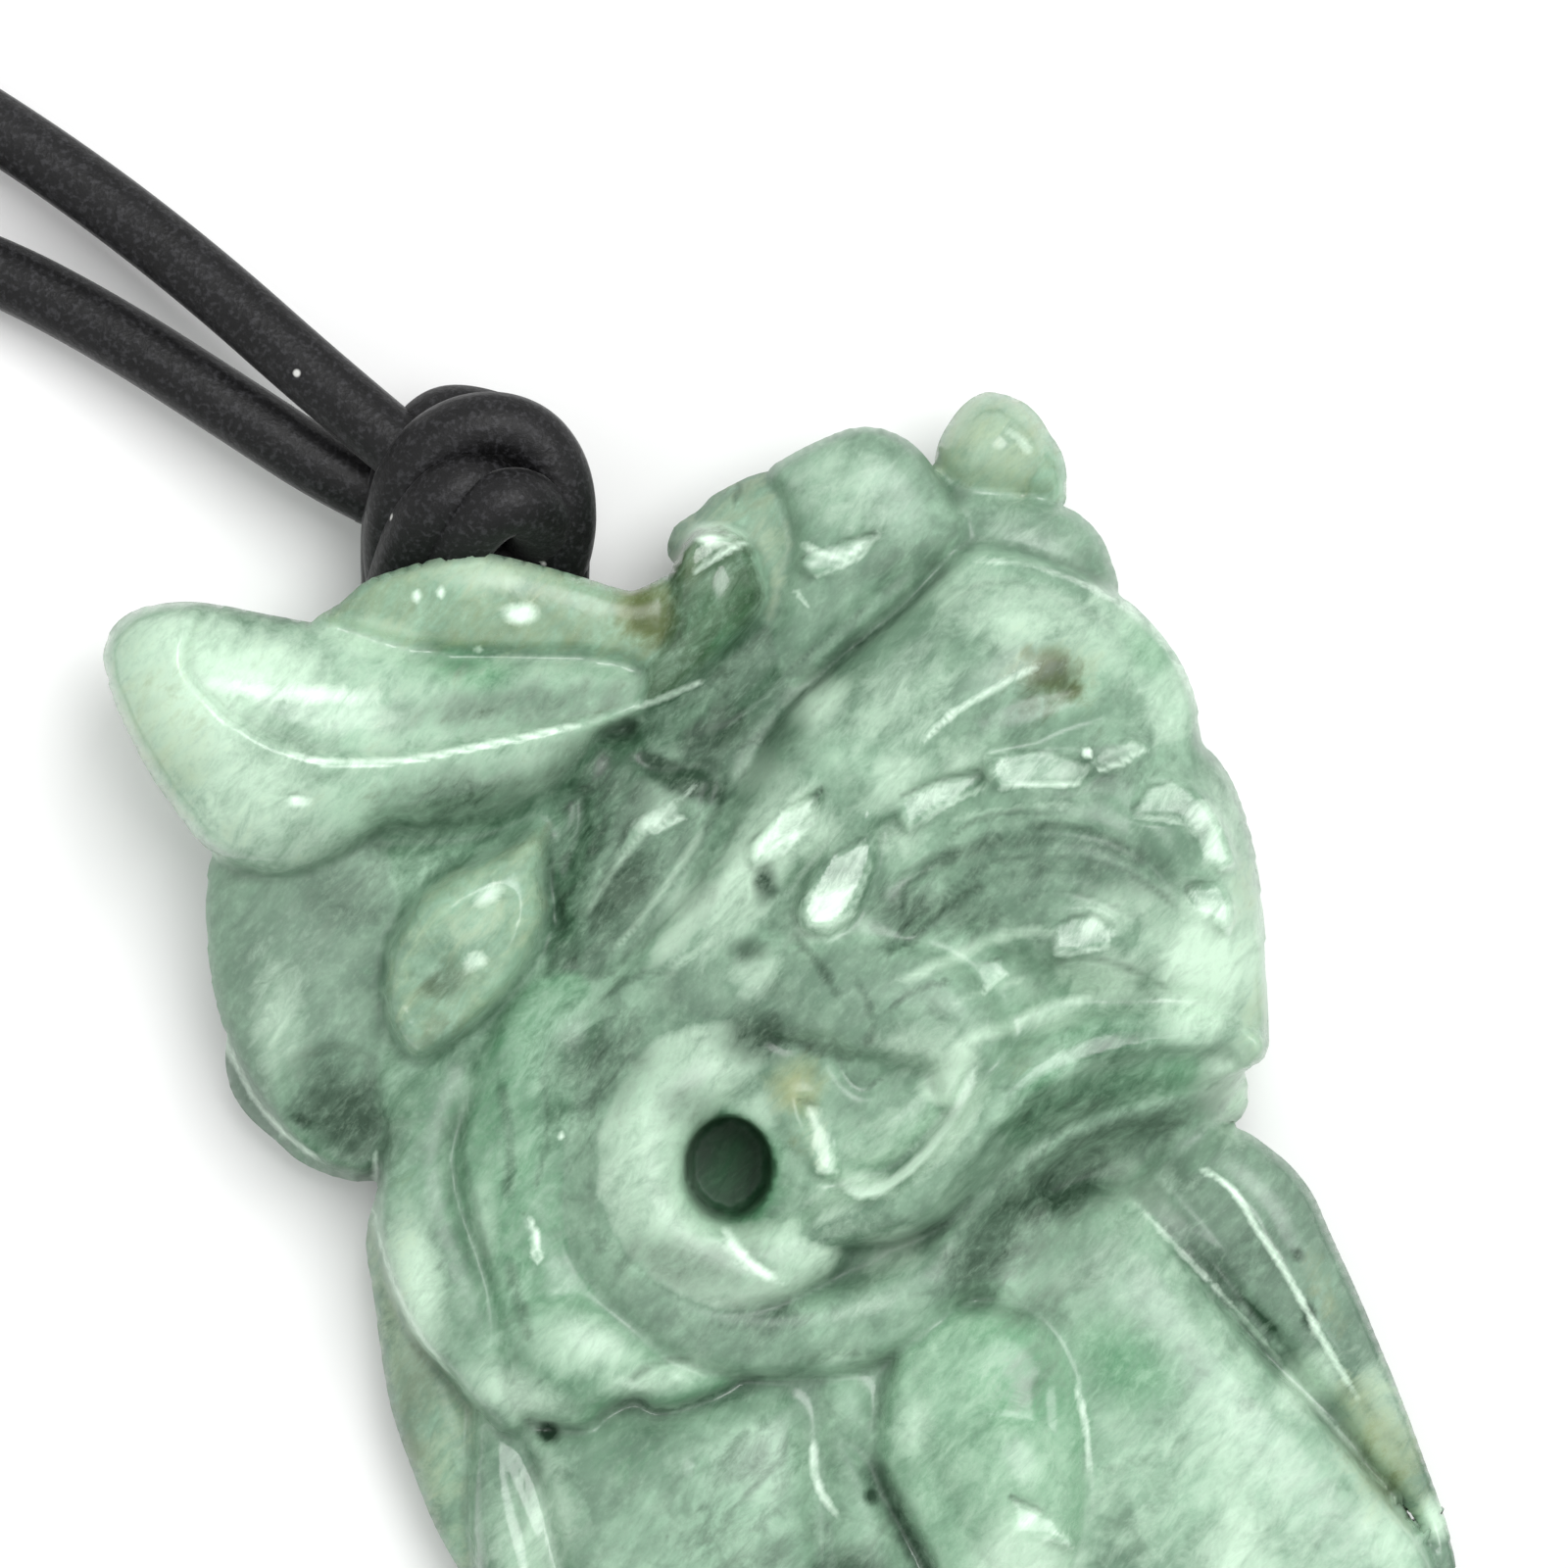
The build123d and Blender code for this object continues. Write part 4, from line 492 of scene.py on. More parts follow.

# Tints that belong to a whole form. A dark share is partly the stone's dark clouds and partly painted shade,
# above all on the forms that lie behind, under or between others.
FORM_TINTS = {
    "bulb": {"grey": 0.5, "dull": 1.0}, "bulb_rim": {"grey": 0.9, "dark": 0.2, "dull": 0.5},
    "back_leaf": {"tan": 0.3, "pale": 0.25, "dull": 0.4}, "web": {"grey": 0.5, "dark": 0.2, "dull": 1.0},
    "behind_ear": {"dark": 0.4, "vivid": 0.35, "dull": 1.0},
    "behind_curl": {"dark": 0.6, "vivid": 0.35, "dull": 1.0}, "horn": {"pale": 0.4, "tan": 0.12},
    "horn_leaf": {"tan": 0.35, "grey": 0.35, "dull": 0.2},
    "curl_rim": {"tan": 0.3, "grey": 0.5, "pale": 0.25, "dull": 1.0},
    "curl": {"vivid": 0.3, "olive": 0.4, "dark": 0.5}, "crest": {"pale": 0.1, "grey": 0.4, "dull": 0.4},
    "ball": {"tan": 0.4, "pale": 0.5}, "small_ball": {"tan": 0.3},
    "ridge": {"grey": 0.5, "pale": 0.25, "dull": 0.4}, "face": {"grey": 0.15, "dull": 0.3},
    "far_corner": {"grey": 0.6}, "ear": {"tan": 0.3, "pale": 0.2},
    "head": {"dark": 0.35, "grey": 0.4, "dull": 0.8}, "nape": {"dark": 0.68, "vivid": 0.45, "dull": 0.5},
    "mane_outer": {"grey": 0.4, "vivid": 0.25, "dark": 0.12, "dull": 0.5},
    "mane_inner": {"vivid": 0.38, "grey": 0.3, "dark": 0.1, "dull": 0.4},
    "jaw": {"grey": 0.25, "dull": 0.6}, "hinge": {"pale": 0.52, "tan": 0.1, "dull": 0.4},
    "cheek": {"grey": 0.4, "dull": 0.5}, "fang": {"tan": 0.3, "grey": 0.3, "dull": 0.3},
    "gum": {"dark": 0.35, "grey": 0.4, "dull": 1.0}, "gum_line": {"pale": 0.3},
    "throat": {"grey": 0.3, "dark": 0.08, "dull": 0.4}, "beard": {"vivid": 0.5, "pale": 0.34, "dull": 0.2},
    "tooth": {"pale": 0.24, "dull": 0.3}, "fin_root": {"grey": 0.7, "dark": 0.35, "dull": 0.4},
    "fin": {"grey": 0.65, "pale": 0.12, "dull": 0.2}, "chin_fold": {"pale": 0.15, "dull": 0.8},
    "body": {"grey": 0.5}, "outer_strand": {"grey": 0.35}, "lip": {"vivid": 0.1},
}
# Tints laid along lines: points, half width, strength
STROKES = {
    # Partly dark veins of the stone, partly painted shade along creases, folds and wrinkles
    "dark": [
        ([(3.0, 13.2), (4.1, 14.6), (5.8, 15.3), (7.6, 15.35), (9.4, 15.1), (11.0, 14.4)], 0.4, 0.5),
        ([(3.6, 12.9), (4.6, 13.9), (6.2, 14.8), (8.2, 14.9), (10.2, 14.2), (11.8, 12.8)], 0.16, 0.5),
        ([(4.2, 15.2), (5.8, 16.1), (7.8, 16.2)], 0.14, 0.5),
        ([(6.8, 11.6), (8.4, 12.0), (10.0, 11.6), (11.4, 10.8)], 0.18, 0.45),
        ([(2.6, 10.2), (3.6, 11.0), (4.8, 11.4)], 0.16, 0.5),
        ([(1.8, 11.6), (2.4, 10.4), (2.2, 9.2)], 0.2, 0.45),
        ([(3.2, 21.9), (1.9, 20.9), (0.9, 19.9)], 0.1, 0.6),
        ([(-6.4, 9.6), (-5.6, 10.6), (-4.4, 11.4), (-3.0, 11.6)], 0.2, 0.5),
        ([(6.6, 15.8), (8.4, 15.7), (10.2, 14.9)], 0.2, 0.6),
        ([(2.6, 12.0), (3.6, 12.6), (5.0, 13.8), (5.8, 14.1)], 0.25, 0.65),
        ([(4.4, 12.2), (6, 13.1), (7.4, 13.9), (8.8, 13.7), (10.4, 12.9)], 0.16, 0.35),
        ([(0.0, 12.8), (1.0, 11.6), (1.5, 10.7)], 0.22, 0.55),
        ([(-0.8, 14.5), (-0.6, 14.1), (-0.4, 13.7)], 0.25, 0.8),
        ([(-4.7, 17.9), (-3.4, 17.5), (-2.2, 16.7)], 0.3, 0.95), ([(-2.8, 17.2), (-1.8, 16.2)], 0.14, 0.7),
        ([(5.0, 23.7), (4.2, 22.9), (2.9, 21.7), (1.6, 20.7), (0.4, 19.6), (-0.6, 18.4),
         (-1.4, 16.9)], 0.2, 0.6),
        ([(3.6, 23.2), (2.0, 21.9), (0.6, 20.8), (-0.6, 19.6)], 0.12, 0.4),
        ([(-4.6, 11.8), (-3.2, 13.4), (-2.0, 14.9), (-1.2, 16.4)], 0.12, 0.4),
        ([(-5.2, 12.8), (-3.9, 14.4), (-2.8, 15.8)], 0.18, 0.5),
        ([(-6.0, 13.4), (-5.0, 15.0), (-4.4, 16.6)], 0.25, 0.6),
        ([(-6.9, 16.2), (-6.9, 14.6), (-6.6, 13.2), (-6.2, 12.6)], 0.25, 0.6),
        ([(-4.2, 14.9), (-5.4, 13.2), (-6.4, 11.6)], 0.2, 0.5),
        ([(-3.0, 14.6), (-4.2, 12.8), (-5.4, 11.0)], 0.12, 0.4),
        ([(5.6, 5.0), (6.6, 5.8), (8.0, 6.5), (9.6, 7.0), (11.4, 7.4)], 0.5, 0.5),
        ([(2.2, -2.3), (3.0, -3.8), (3.7, -5.2), (4.1, -6.4)], 0.5, 0.62),
        ([(11.0, 3.9), (12.4, 2.5), (13.6, 1.4), (14.6, 0.6)], 0.3, 0.6),
        ([(13.0, 2.2), (14.3, 0.95)], 0.16, 0.9), ([(-8.6, 9.6), (-7.6, 10.6), (-6.8, 11.8)], 0.3, 0.25),
        ([(-8.4, 8.6), (-8.1, 6.6), (-8.2, 4.6)], 0.25, 0.5),
        ([(-7.2, 9.0), (-7.0, 7.0), (-7.4, 5.0)], 0.16, 0.5),
        ([(-8.2, 3.4), (-7.8, 1.8), (-7.4, 0.6)], 0.3, 0.5),
        ([(-4.8, -0.4), (-3.8, 0.2), (-2.6, 0.3)], 0.2, 0.5),
        ([(-5.8, 9.4), (-6.2, 7.8), (-6.6, 6.2)], 0.2, 0.5),
        ([(0.2, 19.0), (-1.2, 18.2), (-2.8, 18.0)], 0.2, 0.6),
        ([(-3.6, 19.4), (-2.6, 19.6), (-1.4, 20.4)], 0.3, 0.6),
        ([(-1.0, 17.6), (-1.8, 16.6), (-2.6, 15.4)], 0.2, 0.6),
        ([(-9.2, 8.2), (-9.5, 6.6), (-9.0, 4.4), (-8.7, 2.6)], 0.2, 0.35),
    ],
    "vivid": [
        ([(6.0, 6.6), (7.2, 7.5), (9.0, 8.2), (11.0, 8.6), (12.4, 8.7)], 0.8, 0.55),
        ([(-2.6, 20.4), (-1.6, 21.6), (-1.3, 23.0)], 0.6, 0.6),
        ([(-11.6, 20.2), (-9.8, 20.3), (-8.2, 20.4)], 0.6, 0.4),
        ([(8.2, -0.2), (8.4, -1.6), (8.3, -2.6)], 0.5, 0.6),
        ([(9.2, 1.2), (11.2, 0.4), (12.6, -1.0)], 0.9, 0.3),
    ],
    # Partly whitish zones of the stone, partly painted highlight along the lip's crest and round the mouth
    "pale": [
        ([(-4.2, 11.6), (-3.0, 12.9), (-1.6, 14.4), (-0.2, 15.9), (1.0, 17.2)], 0.45, 0.8),
        ([(-5.3, 11.9), (-4.2, 13.2), (-3.2, 14.6), (-2.3, 16.0)], 0.14, 0.6),
        ([(-6.0, 13.0), (-5.0, 14.6), (-3.9, 16.0)], 0.13, 0.6),
        ([(-4.0, 11.2), (-2.6, 12.2), (-1.2, 13.4)], 0.2, 0.45),
        ([(4.1, 8.7), (4.9, 9.5), (6.2, 10.0), (8.0, 10.7), (9.4, 11.0)], 0.28, 0.6),
        ([(4.2, 7.6), (4.6, 8.6), (5.2, 9.6)], 0.7, 0.8), ([(0.7, 7.8), (0.9, 6.8), (1.2, 5.6)], 0.32, 0.6),
        ([(3.0, 11.2), (4.6, 11.9), (6.2, 12.6), (8.0, 12.8)], 0.25, 0.55),
        ([(4.4, 10.5), (5.6, 11.0), (7.0, 11.4)], 0.16, 0.35),
        ([(8.8, 13.9), (10.4, 13.2), (11.4, 12.0)], 0.15, 0.45),
        ([(3.2, 14.6), (4.6, 15.9), (6.6, 16.3), (8.8, 16.4)], 0.2, 0.35),
    ],
    # Painted highlight: thin lines of reflected light along ridges, rims and the lip's crest
    "glint": [
        ([(-14.6, 17.9), (-13.4, 17.66), (-11.4, 17.66), (-9.2, 18.06), (-7.2, 18.46),
         (-5.6, 18.8)], 0.1, 0.9),
        ([(-4.5, 19.15), (-3.4, 19.6), (-2.4, 20.06)], 0.1, 0.8),
        ([(-17.4, 20.2), (-16.4, 19.85), (-14.4, 19.6), (-11.4, 19.5)], 0.3, 0.6),
        ([(1.4, 5.5), (2.0, 5.2), (2.8, 5.4), (3.7, 6.1), (4.5, 7.0), (5.1, 8.1), (5.4, 9.0)], 0.16, 1.0),
        ([(11.5, 6.05), (12.8, 5.3), (13.65, 4.0), (14.5, 2.7), (15.6, 0.7), (16.7, -1.1)], 0.12, 0.75),
        ([(9.9, 5.0), (11.2, 3.6), (13, 1.7), (15, -0.7), (17.2, -3.3)], 0.12, 0.5),
        ([(-1.95, 4.2), (-1.3, 3.3), (-0.3, 2.6)], 0.18, 0.8),
        ([(0.7, -2.0), (0.8, -3.3), (1.5, -4.4)], 0.14, 0.7),
        ([(8.3, -0.3), (8.6, -1.6), (8.75, -3.2)], 0.12, 0.65),
        ([(-16.7, 10.2), (-15.9, 8.2), (-14.9, 6.9), (-13.4, 5.8)], 0.12, 0.6),
        ([(3.7, 18.05), (4.9, 19.15), (7.5, 20.6)], 0.13, 0.6),
        ([(4.9, 23.5), (7.0, 23.3), (9.3, 22.4), (10.7, 21.3), (11.8, 19.4)], 0.14, 0.45),
        ([(0.2, 24.0), (1.4, 23.6), (2.4, 24.0)], 0.16, 0.7), ([(0.1, 22.7), (0.6, 22.1)], 0.1, 0.6),
        ([(6.2, 27.4), (6.7, 27.0), (7.1, 26.6)], 0.2, 0.5),
        ([(-7.6, 4.6), (-7.3, 3.8), (-7.5, 3.2)], 0.12, 0.7),
        ([(-11.9, 7.2), (-12.1, 4.4), (-11.0, 1.4), (-9.4, -0.8)], 0.1, 0.5),
        ([(-3.4, 16.4), (-2.6, 17.0)], 0.1, 0.3),
    ],
}
# How much painted highlight a polished facet gets. In millimetres, the half width of its painted bright
# and dark edges and the soft edge of its pale inside. Then how strong the painted bright and dark edges are.
FACET_PAINTED_HIGHLIGHT = 0.3
FACET_EDGE = 0.11
PAINTED_HIGHLIGHT_EDGE = 0.2
PAINTED_LIT_EDGE = 0.6
PAINTED_SHADED_EDGE = 0.45
# Painted highlight lies along the lower edges and, by this share, the right ones. Painted shade lies
# opposite.
RIGHT_SHARE = 0.5
# How steeply a cut and a stroke rise from their ends, and what is left of a stroke at its ends
CUT_ENDS = 8
STROKE_ENDS = 6
STROKE_LEFT = 0.2
# The power that flattens a spot's top, and how fast it falls off
SPOT_FLATNESS = 1.2
SPOT_FALL = 0.7
# Over how many passes of softening the painted shade in recesses is measured, and the most that it
# darkens the stone
HOLLOW_REACH = 10
HOLLOW_MOST = 0.34
# How much painted shade it lays for a millimetre of depth, from what depth on, and how far from the rim it
# is whole
HOLLOW_GAIN = 0.9
HOLLOW_START = 0.05
HOLLOW_FADE = 0.9
# The layers of the stone's colour, from the first laid to the last, and their colours. The dark layer is
# partly painted shade and the pale layer partly painted highlight.
LAYERS = {
    "grey": "grey_green", "vivid": "apple_green", "pale": "milky_green_and_highlight", "tan": "honey", "olive": "rust",
    "dark": "dark_green_and_shade", "glint": "painted_highlight_green",
}

# Sizes in millimetres: the relief's reach, its squares, a form's fading edge and the room round its window
REACH_X = (-22.0, 21.5)
REACH_Y = (-33.0, 30.5)
CELL = 0.14
SOFT_EDGE = 0.18
MARGIN = 0.6
# Heights below and above all forms, where there is none
FAR_BELOW = -9.0
FAR_ABOVE = 99.0
# How many rounds of relaxation a swell gets for each grid point across it
SWELL_WORK = 1.6
# 2 gives a band's top the shape of an ellipse, and more makes it flatter
BAND_SQUARENESS = 2.7
STEPS_ON_CURVE = 6
# The rim's points move onto the outline in so many steps. There the top is lowered and the underside raised
# by shares of the thickness. The last two numbers keep a slope and an average from being divided by nothing.
RIM_STEPS = 4
RIM_TOP = 0.12
RIM_UNDER = 0.3
LEAST_STEEP = 0.3
LEAST_WEIGHT = 0.05
MOST_TRIANGLES = 190000

# Numbers of the sockets that give an object's own coordinates and the strength of an attribute
OBJECT_SPACE = 3
STRENGTH = 2


def linear(hex_colour):
    """An sRGB hex colour as linear red, green, blue and one for alpha."""
    parts = [int(hex_colour[i : i + 2], 16) / 255 for i in (1, 3, 5)]
    return [*(p / 12.92 if p <= 0.04045 else ((p + 0.055) / 1.055) ** 2.4 for p in parts), 1.0]


def curved(points, closed=False, steps=STEPS_ON_CURVE):
    """Points on a curve through the given rows: each stretch is the Catmull-Rom cubic of four rows."""
    p = np.asarray(points, dtype=float)
    if closed:
        p = np.concatenate([p[-1:], p, p[:2]])
    else:
        p = np.concatenate([2 * p[:1] - p[1:2], p, 2 * p[-1:] - p[-2:-1]])
    a, b, c, d = (p[i : len(p) - 3 + i, None, :] for i in range(4))
    t = (np.arange(steps) / steps)[None, :, None]
    line = 0.5 * (2 * b + (c - a) * t + (2 * a - 5 * b + 4 * c - d) * t**2 + (3 * b - a - 3 * c + d) * t**3)
    line = line.reshape(-1, p.shape[1])
    return line if closed else np.concatenate([line, p[-2:-1]])


def tapered(along, steep, least=0.0):
    """From the least at both ends of a line up to 1 further in."""
    return np.clip(np.minimum(along, 1 - along) * steep + least, 0, 1)


def bell(distance, half_width):
    """From 1 in the middle down to 0.37 at the half width and on to nothing."""
    return np.exp(-((distance / half_width) ** 2))


def covered(signed, edge=SOFT_EDGE):
    """From 0 outside an outline to 1 inside it, over a soft edge."""
    return np.clip(signed / edge + 0.5, 0, 1)


def within(x, y, line):
    """Which grid points a closed line goes round: their ray to the right crosses it an odd number of
    times."""
    odd = np.zeros(x.shape, dtype=bool)
    for a, b in zip(line, np.roll(line, -1, axis=0)):
        crosses = (a[1] > y) != (b[1] > y)
        if crosses.any():
            odd ^= crosses & (x < a[0] + (y - a[1]) * (b[0] - a[0]) / (b[1] - a[1] + 1e-12))
    return odd


class Relief:
    """The stone as two sheets of heights over the layout grid, with the signed distance to its outline."""

    def __init__(self):
        self.x, self.y = np.meshgrid(np.arange(*REACH_X, CELL), np.arange(*REACH_Y, CELL))
        self.top = np.zeros(self.x.shape)
        self.under = np.zeros(self.x.shape)
        self.inside = np.full(self.x.shape, FAR_BELOW)
        # Which form shows at each grid point, by its number
        self.form = np.zeros(self.x.shape, dtype=int)
        self.names = {}

    def window(self, line, margin):
        """The part of the grid within a margin of a line."""
        low = line[:, :2].min(axis=0) - margin
        high = line[:, :2].max(axis=0) + margin
        columns = np.flatnonzero((self.x[0] >= low[0]) & (self.x[0] <= high[0]))
        rows = np.flatnonzero((self.y[:, 0] >= low[1]) & (self.y[:, 0] <= high[1]))
        return slice(rows[0], rows[-1] + 1), slice(columns[0], columns[-1] + 1)

    def nearest(self, where, line):
        """The distance from each grid point to the nearest run of a line, and how far along it that is."""
        x, y = self.x[where], self.y[where]
        best = np.full(x.shape, 1e9)
        along = np.zeros(x.shape)
        for i, (a, b) in enumerate(zip(line[:-1, :2], line[1:, :2])):
            run = b - a
            t = np.clip(((x - a[0]) * run[0] + (y - a[1]) * run[1]) / max(run @ run, 1e-9), 0, 1)
            far = np.hypot(x - a[0] - t * run[0], y - a[1] - t * run[1])
            closer = far < best
            best = np.where(closer, far, best)
            along = np.where(closer, i + t, along)
        return best, along / (len(line) - 1)

    def around(self, outline, margin=MARGIN, steps=STEPS_ON_CURVE):
        """The window round a closed outline, with the distance from each of its grid points to the outline:
        over 0 inside and under 0 outside."""
        line = curved(outline, closed=True, steps=steps)
        where = self.window(line, margin)
        far, _ = self.nearest(where, np.concatenate([line, line[:1]]))
        return where, np.where(within(self.x[where], self.y[where], line), far, -far)

    def swell(self, outline):
        """The height of a skin blown up over an outline, from 0 to 1, with the signed distance to the
        outline. It is the root of the u that is 0 on the outline and has the same Laplacian all over the
        inside."""
        where, signed = self.around(outline)
        inside = signed > 0
        u = np.zeros(signed.shape)
        chequer = np.indices(u.shape).sum(axis=0) % 2 == 0
        across = max(u.shape)
        haste = 2 / (1 + math.sin(math.pi / across))
        for _ in range(int(SWELL_WORK * across)):
            for half in (chequer, ~chequer):
                four = np.zeros(u.shape)
                four[1:-1, 1:-1] = u[2:, 1:-1] + u[:-2, 1:-1] + u[1:-1, 2:] + u[1:-1, :-2]
                u = np.where(inside & half, u + haste * ((four + 2 * CELL * CELL) / 4 - u), u)
        root = np.sqrt(np.maximum(u, 0))
        return where, root / root.max(), signed

    def lay(self, name, where, top, under, signed):
        """Puts a form on the others: the higher top and the lower underside are kept, over a soft edge."""
        number = self.names.setdefault(name, len(self.names) + 1)
        cover = covered(signed)
        here = self.inside[where] > 0
        shows = (signed > 0) & (~here | (top > self.top[where]))
        self.form[where] = np.where(shows, number, self.form[where])
        old = np.where(here, self.top[where], top)
        self.top[where] = np.where(cover > 0, np.maximum(old, old + cover * (top - old)), self.top[where])
        old = np.where(here, self.under[where], under)
        low = np.where(signed > 0, np.minimum(old, under), old)
        self.under[where] = np.where(cover > 0, np.maximum(low, 0), self.under[where])
        self.inside[where] = np.maximum(self.inside[where], signed)

    def pillow(self, name, outline, level, crown, depth, power, lean=(0, 0)):
        """A form with a rim at one level: its top is the level and the crown times the swell to a power, and
        its underside the level less the depth times the same. A lean tilts the top about its middle."""
        where, swell, signed = self.swell(outline)
        shape = swell**power
        middle = np.mean(outline, axis=0)
        tilt = lean[0] * (self.x[where] - middle[0]) + lean[1] * (self.y[where] - middle[1])
        self.lay(name, where, level + (crown + tilt) * shape, level - depth * shape, signed)

    def band(self, name, sections):
        """Ellipses along a spine: at each point the top is the highest one of the ellipses that reach it."""
        line = curved(sections)
        where = self.window(line, line[:, 3].max() + MARGIN)
        x, y = self.x[where], self.y[where]
        top = np.full(x.shape, FAR_BELOW)
        under = np.full(x.shape, FAR_ABOVE)
        signed = np.full(x.shape, FAR_BELOW)
        for a, b in zip(line[:-1], line[1:]):
            run = (b - a)[:2]
            t = np.clip(((x - a[0]) * run[0] + (y - a[1]) * run[1]) / max(run @ run, 1e-9), 0, 1)
            far = np.hypot(x - a[0] - t * run[0], y - a[1] - t * run[1])
            level, half, height = (a[i] + t * (b[i] - a[i]) for i in (2, 3, 4))
            arch = height * np.clip(1 - (far / half) ** BAND_SQUARENESS, 0, 1) ** (1 / BAND_SQUARENESS)
            inward = half - far
            top = np.maximum(top, np.where(inward > -SOFT_EDGE, level + arch, FAR_BELOW))
            under = np.minimum(under, np.where(inward > -SOFT_EDGE, level - arch, FAR_ABOVE))
            signed = np.maximum(signed, inward)
        self.lay(name, where, top, under, signed)

    def add(self, outline, height, power, form=None):
        """Raises what is there, or one form of it, by a height times the swell to a power. A height under 0
        is a scoop."""
        where, swell, _ = self.swell(outline)
        share = 1.0 if form is None else self.soften(1.0 * (self.form == self.names[form]), 1)[where]
        self.top[where] += height * swell**power * share

    def cut(self, points, depth, half_width):
        """A groove along a line: its depth falls off as a bell to its sides, and to its ends."""
        line = curved(points)
        where = self.window(line, 3 * half_width)
        far, along = self.nearest(where, line)
        self.top[where] -= depth * tapered(along, CUT_ENDS) * bell(far, half_width)

    def facet(self, outline, lean):
        """Flattens the inside of an outline to a plane through its middle height, which gets lower to the
        right and up by the lean."""
        where, signed = self.around(outline, steps=2)
        x, y, top = self.x[where], self.y[where], self.top[where]
        cover = covered(signed)
        share = cover / cover.sum()
        middle_x, middle_y, height = (share * x).sum(), (share * y).sum(), (share * top).sum()
        plane = height - lean[0] * (x - middle_x) - lean[1] * (y - middle_y)
        self.top[where] = top + cover * (plane - top)

    def melt(self, outline, times):
        """Softens the heights inside an outline, fading in over its edge."""
        where, signed = self.around(outline, 3 * MARGIN)
        share = covered(signed, MELT_EDGE)
        top = self.top[where]
        self.top[where] = top + share * (self.soften(top, times) - top)

    def pit(self, x, y, radius, depth):
        """A round dimple whose depth falls off as a bell."""
        self.top -= depth * bell(np.hypot(self.x - x, self.y - y), radius)

    def sample(self, field, x, y):
        """A field's values between the grid points, each from the four around it."""
        column = np.clip((x - self.x[0, 0]) / CELL, 0, field.shape[1] - 1.001)
        row = np.clip((y - self.y[0, 0]) / CELL, 0, field.shape[0] - 1.001)
        j, i = column.astype(int), row.astype(int)
        u, v = column - j, row - i
        low = field[i, j] * (1 - u) + field[i, j + 1] * u
        high = field[i + 1, j] * (1 - u) + field[i + 1, j + 1] * u
        return low * (1 - v) + high * v

    def soften(self, field, times):
        """Each pass gives a point a quarter of each neighbour's share, along both ways of the grid."""
        for _ in range(times):
            for axis in (0, 1):
                field = (np.roll(field, 1, axis) + 2 * field + np.roll(field, -1, axis)) / 4
        return field


def carve():
    """All the forms, swells, scoops and cuts of the stone, in the order in which they lie on each other."""
    r = Relief()
    for name, pillow in PILLOWS.items():
        r.pillow(name, *pillow, lean=LEANS.get(name, (0, 0)))
    for name, sections in BANDS.items():
        r.band(name, sections)
    outside = r.inside <= 0
    for melting in MELTS:
        r.melt(*melting)
    for outline, height, power in SWELLS:
        r.add(outline, height, power)
    for outline, depth, power, form in SCOOPS:
        r.add(outline, -depth, power, form)
    for points, depth, half_width in CUTS:
        r.cut(points, CUT_DEPTH * depth, CUT_WIDTH * half_width)
    for pit in PITS:
        r.pit(*pit)
    r.top = np.where(outside, r.top, r.soften(r.top, 1))
    for outline in FACETS:
        r.facet(outline, FACET_LEAN)
    x, y, across, down = JAW_HOLE
    round_hole = 1 - np.hypot((r.x - x) / across, (r.y - y) / down)
    r.top += covered(round_hole * across) * (JAW_HOLE_FLOOR - r.top)
    r.top = np.maximum(r.top, r.under + THINNEST)
    return r


def placed(name, data):
    """A new object with its data, linked into the scene."""
    thing = bpy.data.objects.new(name, data)
    bpy.context.collection.objects.link(thing)
    return thing


